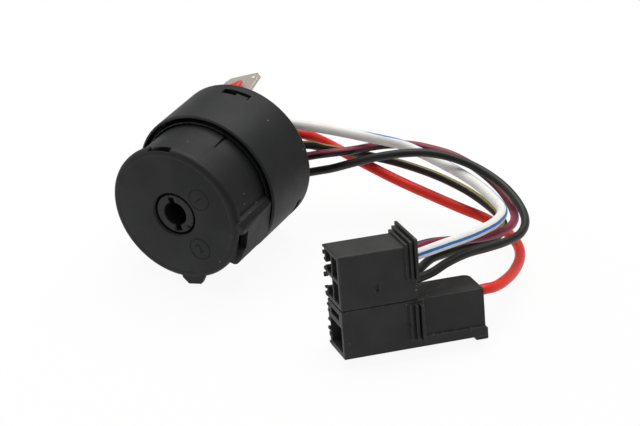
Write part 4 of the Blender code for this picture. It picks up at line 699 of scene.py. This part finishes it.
rim_tab = [(RIM_TAB_ROOT, -foot), (RIM_TAB_BEND, -foot), (RIM_TAB_TOP, -top),
           (RIM_TAB_TOP, top), (RIM_TAB_BEND, foot), (RIM_TAB_ROOT, foot)]
added.prism(rim_tab, *RIM_TAB_BACK, switch_place(RIM_TAB_CLOCK))
for clock in SNAP_CLOCKS:
    added.block((LUG_ROOT, LUG_TOP), (-LUG_HALF, LUG_HALF), LUG_BACK, switch_place(clock + LUG_TURN))
added.join_to(front)
evened(front)
black_matt = moulded_plastic("housing_plastic", (0.0105, 0.0115, 0.011, 1), (0.05, 0.05, 0.048, 1),
                             0.60, 2400)
stand_for(front, "front_housing", black_matt, "switch_body")


# Face marks
# A plain number in a ring, twice, beside the key hole. Such marks are fine sunk lines whose shade makes
# them look darker than the face; here that shade is painted, as thin near-black lines lying on the face.

MARK_RADIUS = 2.72
MARK_LINE = 0.32
MARK_RAISE = 0.025
MARK_FOOT = 0.02
NUMBER_SIZE = 0.0034
NUMBER_BOLD = 0.00006
NUMBER_THICK = 0.00001
RING_STEPS = 48
MARKS = (("1", 6.95, 6.15), ("2", 6.9, -7.6))

# The marks' near-black colour is painted shade, standing in for the shade inside sunk grooves.
groove_shade_paint = Finish("groove_shade_paint")
line_noise = groove_shade_paint.cloud(1500, 2.0)
groove_shade_tone = groove_shade_paint.mix(line_noise, (0.003, 0.003, 0.003, 1), (0.006, 0.006, 0.006, 1))
groove_shade_material = groove_shade_paint.close(groove_shade_paint.add("ShaderNodeBsdfPrincipled", None, {
    "Base Color": groove_shade_tone, "Roughness": line_noise * 0.1 + 0.6, "IOR": 1.5, "Specular IOR Level": 0.25}))
for text, across, up in MARKS:
    letter = bpy.data.curves.new(f"number_{text}", "FONT")
    letter.body = text
    letter.size = NUMBER_SIZE
    letter.align_x = "CENTER"
    letter.align_y = "CENTER"
    letter.extrude = NUMBER_THICK
    letter.offset = NUMBER_BOLD
    mark = bpy.data.objects.new(f"face_mark_{text}", letter)
    bpy.context.scene.collection.objects.link(mark)
    number = bpy.data.meshes.new_from_object(mark.evaluated_get(bpy.context.evaluated_depsgraph_get()))
    bpy.data.objects.remove(mark)
    towards_key = Vector((-across, 0, -up)).normalized()
    aside = Vector((towards_key.z, 0, -towards_key.x))
    turn = Matrix((aside, towards_key, (0, -1, 0))).transposed().to_4x4()
    centre = Vector((across * 0.001, FACE_BACK - MARK_RAISE * 0.0005, AXIS_HEIGHT + up * 0.001))
    number.transform(Matrix.Translation(centre) @ turn)
    ring = Bodies()
    ring.turned([(MARK_RADIUS - MARK_LINE / 2, -MARK_RAISE), (MARK_RADIUS + MARK_LINE / 2, -MARK_RAISE),
                 (MARK_RADIUS + MARK_LINE / 2, MARK_FOOT), (MARK_RADIUS - MARK_LINE / 2, MARK_FOOT)],
                switch_place() @ Matrix.Translation((across, -up, 0)), RING_STEPS)
    ring.shape.from_mesh(number)
    bmesh.ops.remove_doubles(ring.shape, verts=ring.shape.verts, dist=MERGE)
    bmesh.ops.recalc_face_normals(ring.shape, faces=ring.shape.faces)
    ring.shape.to_mesh(number)
    ring.shape.free()
    mark = bpy.data.objects.new(f"face_mark_{text}", number)
    bpy.context.scene.collection.objects.link(mark)
    number.materials.clear()
    number.materials.append(groove_shade_material)
    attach(mark, "switch_body")


# Rotor
# The moulded piece that the key's tail drives. Its slotted socket shows in the middle of the face, a
# little below it, and the piece turns in the barrel from off through accessory and on to start.

RING_SHRINK = 0.4
RING_SINK = 1.0
RING_REACH = (5.2, 5.7)
RING_BACK = 2.75
RING_FACE = 0.5

drive = joined_copy("rotor", "drive_moulding")
to_switch = switch_place().inverted()
for corner in drive.data.vertices:
    spot = to_switch @ corner.co
    reach = math.hypot(spot.x, spot.y)
    if spot.z < RING_BACK and RING_REACH[0] < reach < RING_REACH[1]:
        spot.x *= (reach - RING_SHRINK) / reach
        spot.y *= (reach - RING_SHRINK) / reach
    if spot.z < RING_FACE:
        spot.z += RING_SINK
    corner.co = switch_place() @ spot
evened(drive)
rotor_matt = moulded_plastic("rotor_plastic", (0.012, 0.012, 0.0125, 1), (0.06, 0.06, 0.06, 1), 0.5, 2800)
stand_for(drive, "rotor", rotor_matt, "rotor_body")


# Springs
# Round spring-steel wire, coiled: one presses the detent plunger, one brings the key back from start
# with a leg on each side of a rib, and three press the bridges on the contacts.

COIL_STEPS = 24
COIL_SIDES = 12
BRIDGE_CLOCKS = (30.0, 150.0, 270.0)
BRIDGE_REACH = 7.9
BRIDGE_COIL = (1.6, 18.85, 21.65, 4)
BRIDGE_STEEL = 0.0005
CLICK_COIL = (1.2, 13.82, 16.5, 4)
CLICK_STEEL = 0.0004
START_CLOCK = 235.0
START_RADIUS = 7.69
START_FRONT = 11.75
START_BACK = 14.65
START_TURNS = 3
START_STEEL = 0.0009
LEG_ASIDE = 1.95
LEG_END = 12.6
LEG_BEND = 0.9


def sheet_metal(name, colour, shade, roughness, stretch):
    """Bare metal with fine brushed lines and soft stains."""
    finish = Finish(name)
    brushed = finish.cloud(500, 4.0, stretch)
    stain = finish.cloud(220, 4.0).within(0.45, 0.75)
    tone = finish.mix(stain * 0.6, colour, shade)
    rough = roughness + brushed * 0.15 + stain * 0.1
    rounded = finish.add("ShaderNodeBevel", {"samples": 4}, {"Radius": 0.00012})
    bump = finish.add("ShaderNodeBump", None,
                      {"Strength": 0.2, "Distance": 0.00003, "Height": brushed, "Normal": rounded})
    return finish.close(finish.add("ShaderNodeBsdfPrincipled", None, {
        "Base Color": tone, "Roughness": rough, "Metallic": 1.0, "Normal": bump}))


def coil(radius, first, last, rounds, start=0.0):
    """Points of a coil round Z, in millimetres."""
    count = round(rounds * COIL_STEPS)
    points = []
    for step in range(count + 1):
        turn = math.tau * rounds * step / count + start
        points.append(Vector((radius * math.cos(turn), radius * math.sin(turn),
                              first + (last - first) * step / count)))
    return points


def spring(name, points, place, diameter, node, body):
    line = bpy.data.meshes.new(name)
    line.from_pydata([place @ point for point in points],
                     [(index, index + 1) for index in range(len(points) - 1)], [])
    piece = grow(name, line, wire_tree, {"Diameter": diameter, "Sides": COIL_SIDES, "Surface": steel})
    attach(piece, body)
    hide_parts(node)


steel = sheet_metal("spring_steel", (0.52, 0.52, 0.53, 1), (0.42, 0.41, 0.40, 1), 0.30, (1, 1, 1))
spring("click_spring", coil(*CLICK_COIL), switch_place(PAD_CLOCK) @ outward, CLICK_STEEL,
       "detent_spring", "switch_body")
lean = math.asin(LEG_ASIDE / START_RADIUS)
wound = coil(START_RADIUS, START_FRONT, START_BACK, START_TURNS + lean / math.pi, -lean)
bend = START_RADIUS * math.cos(lean) + LEG_BEND
legs = [Vector((LEG_END, -LEG_ASIDE, START_FRONT)), Vector((bend, -LEG_ASIDE, START_FRONT)), *wound[2:-2],
        Vector((bend, LEG_ASIDE, START_BACK)), Vector((LEG_END, LEG_ASIDE, START_BACK))]
spring("start_spring", legs, switch_place(START_CLOCK), START_STEEL, "return_spring", "switch_body")
for number, clock in enumerate(BRIDGE_CLOCKS, 1):
    seat = switch_place(clock) @ Matrix.Translation((BRIDGE_REACH, 0, 0))
    spring(f"bridge_spring_{number}", coil(*BRIDGE_COIL), seat, BRIDGE_STEEL,
           f"contact_spring_{number}", "rotor_body")


# Detent plunger
# A small turned steel pin with a round nose. It stands in a pocket under the locating pad, and its
# nose drops into the rotor's notches.

plunger = joined_copy("detent_plunger", "click_plunger")
evened(plunger)
stand_for(plunger, "detent_plunger", steel, "switch_body")


# Contact carrier and bridges
# A disc moulded in brown resin sits on the rotor's square end. It carries three bridges stamped in
# copper alloy, which slide between its guides.

resin = moulded_plastic("base_resin", (0.11, 0.085, 0.055, 1), (0.16, 0.13, 0.09, 1), 0.6, 2000, False)
copper = sheet_metal("contact_copper", (0.70, 0.42, 0.28, 1), (0.52, 0.28, 0.17, 1), 0.32, (6, 1, 1))
carrier = joined_copy("contact_carrier", "bridge_carrier")
evened(carrier)
stand_for(carrier, "contact_carrier", resin, "rotor_body")
for number in range(1, 4):
    bridge = joined_copy(f"moving_contact_{number}", f"bridge_{number}")
    evened(bridge)
    stand_for(bridge, f"moving_contact_{number}", copper, "rotor_body")


# Terminal base and fixed contacts
# The base is a disc of the same resin, keyed to the housing. Five stamped contacts stand in it, each
# with a crimp behind the base for its own wire.

base = joined_copy("terminal_base", "base_plate")
evened(base)
stand_for(base, "terminal_base", resin, "switch_body")
for number in range(1, 6):
    contact = joined_copy(f"fixed_contact_{number}", f"base_contact_{number}")
    evened(contact)
    stand_for(contact, f"fixed_contact_{number}", copper, "switch_body")


# Supply tab
# A wide blade stamped in brass and tinned. It stands in the base, passes through a slot in the cap and
# leans outward behind it, with a small punched dimple near its end.

tin = sheet_metal("tinned_metal", (0.74, 0.69, 0.60, 1), (0.56, 0.49, 0.39, 1), 0.36, (1, 1, 8))
tab = joined_copy("supply_tab", "tab_strip")
evened(tab)
stand_for(tab, "supply_tab", tin, "switch_body")


# Sleeve on the tab
# A small piece of red vinyl on the outer face of the blade, which marks the tab as the supply. It sits
# low, so that little more than its slanted upper end shows over the cap.

vinyl = insulation("sleeve_vinyl", (0.70, 0.045, 0.02, 1), (0.60, 0.03, 0.015, 1))
TAB_CLOCK = 116.0
TAB_TILT = math.radians(12)
SLEEVE_MIDDLE = 40.0
SLEEVE_SHIFT = (2.9, 2.7)
SLEEVE_ASIDE = 0.9
SLEEVE_RIGHT = 0.6
SLEEVE_SLANT = 0.42

sleeve = joined_copy("supply_tab_sleeve", "tab_sleeve")
for corner in sleeve.data.vertices:
    spot = switch_place(TAB_CLOCK).inverted() @ corner.co
    shift = SLEEVE_SHIFT[0]
    if spot.z > SLEEVE_MIDDLE:
        shift = SLEEVE_SHIFT[1] + (SLEEVE_RIGHT - spot.y) * SLEEVE_SLANT
    spot.x -= shift * math.sin(TAB_TILT)
    spot.y -= SLEEVE_ASIDE
    spot.z -= shift * math.cos(TAB_TILT)
    corner.co = switch_place(TAB_CLOCK) @ spot
evened(sleeve)
stand_for(sleeve, "supply_tab_sleeve", vinyl, "switch_body")


# Rear cap
# A cup moulded in the same black plastic. It snaps over the housing's three lugs and clamps the base,
# and a narrow groove runs round its mouth beside the barrel.

MOUTH_INNER = 17.3
MOUTH_OUTER = 18.3
MOUTH_DEPTH = 3.0
MOUTH_EDGE = (0.25, 0.3)

cap = joined_copy("rear_cap", "cap_moulding")
mouth = Bodies()
flare, edge_back = MOUTH_EDGE
mouth.turned([(MOUTH_INNER, CAP_FRONT - 0.6), (MOUTH_OUTER + flare, CAP_FRONT - 0.6),
              (MOUTH_OUTER, CAP_FRONT + edge_back), (MOUTH_OUTER, CAP_FRONT + MOUTH_DEPTH),
              (MOUTH_INNER, CAP_FRONT + MOUTH_DEPTH)], axis)
mouth.cut_from(cap)
evened(cap)
cap_matt = moulded_plastic("cap_plastic", (0.013, 0.0135, 0.0145, 1), (0.055, 0.055, 0.053, 1), 0.58, 2400)
stand_for(cap, "rear_cap", cap_matt, "switch_body")


# Receptacles
# Folded and tinned brass sockets for the blades of the car's plug. Each is crimped to its wire and
# pushed into its cavity from behind.

for number in range(1, 6):
    socket = joined_copy(f"receptacle_{number}", f"crimped_receptacle_{number}")
    evened(socket)
    stand_for(socket, f"receptacle_{number}", tin, "switch_body")


# Connector
# Two black housings, one on the other. The short upper one holds four receptacles and has stepped grip
# ribs at its rear, and the long lower one holds the red wire's receptacle.

CONNECTOR_PLACE = Vector((0.05318, -0.03517, 0.0030006))
CONNECTOR_LONG = Vector((0.70215, 0.71203, 0.0))
CONNECTOR_DEEP = Vector((-0.68776, 0.67823, -0.25882))
CONNECTOR_UP = Vector((-0.18429, 0.18173, 0.96593))
FAR_EDGE = 11.4
NIB_ROOT = 0.5
NIB_OUT = (0.12, 0.45)
NIB_BACK = (0.1, 0.35)
NIB_LONG = (0.4, 1.0)
NIB_DEEP = (0.4, 1.2)
NIB_SEEDS = (5, 8)
TOP_NIBS = (12.3, 14.1, 16.9, 18.6, 20.9, 22.4, 24.2)
SIDE_NIBS = (0.4, 2.2, 3.9, 6.1, 8.2, 9.8)
JOINT_TOP = 0.01175
JOINT_CLOSE = 0.000295
BLOCK_CREASE = 12.0

# The connector's light edge colour is partly rubbed wear and mostly a painted highlight along its edges.
connector_matt = moulded_plastic("connector_plastic", (0.029, 0.030, 0.029, 1), (0.19, 0.19, 0.185, 1),
                                 0.60, 2000)
connector = Matrix((CONNECTOR_LONG, CONNECTOR_DEEP, CONNECTOR_UP)).transposed().to_4x4()
connector = Matrix.Translation(CONNECTOR_PLACE) @ connector @ Matrix.Scale(0.001, 4)


def edge_flash(heights, seed):
    """Small nibs of plastic that stand on the far edge of the mating end."""
    bits = random.Random(seed)
    nibs = Bodies()
    for height in heights:
        out, back, long = bits.uniform(*NIB_OUT), bits.uniform(*NIB_BACK), bits.uniform(*NIB_LONG)
        nibs.block((-out, NIB_ROOT), (FAR_EDGE - bits.uniform(*NIB_DEEP), FAR_EDGE + back),
                   (height, height + long), connector)
    return nibs


flash = edge_flash(TOP_NIBS, NIB_SEEDS[0])
side_flash = edge_flash(SIDE_NIBS, NIB_SEEDS[1])
top_half = joined_copy("connector_housing", "connector_moulding")
for corner in top_half.data.vertices:
    if abs((corner.co - CONNECTOR_PLACE).dot(CONNECTOR_UP) - JOINT_TOP) < 0.00003:
        corner.co -= CONNECTOR_UP * JOINT_CLOSE
flash.join_to(top_half)
evened(top_half, BLOCK_CREASE)
stand_for(top_half, "connector_housing", connector_matt, "switch_body")
side_half = joined_copy("connector_side_housing", "side_connector_moulding")
side_flash.join_to(side_half)
evened(side_half, BLOCK_CREASE)
stand_for(side_half, "connector_side_housing", connector_matt, "switch_body")


# Run of the wires
# Each wire leaves the cap at a point of its own and ends at its receptacle. The loop below only walks the
# wires and changes nothing.

for name, (piece, run, length) in wire_pieces.items():
    name == "white_blue"
    name == "red"
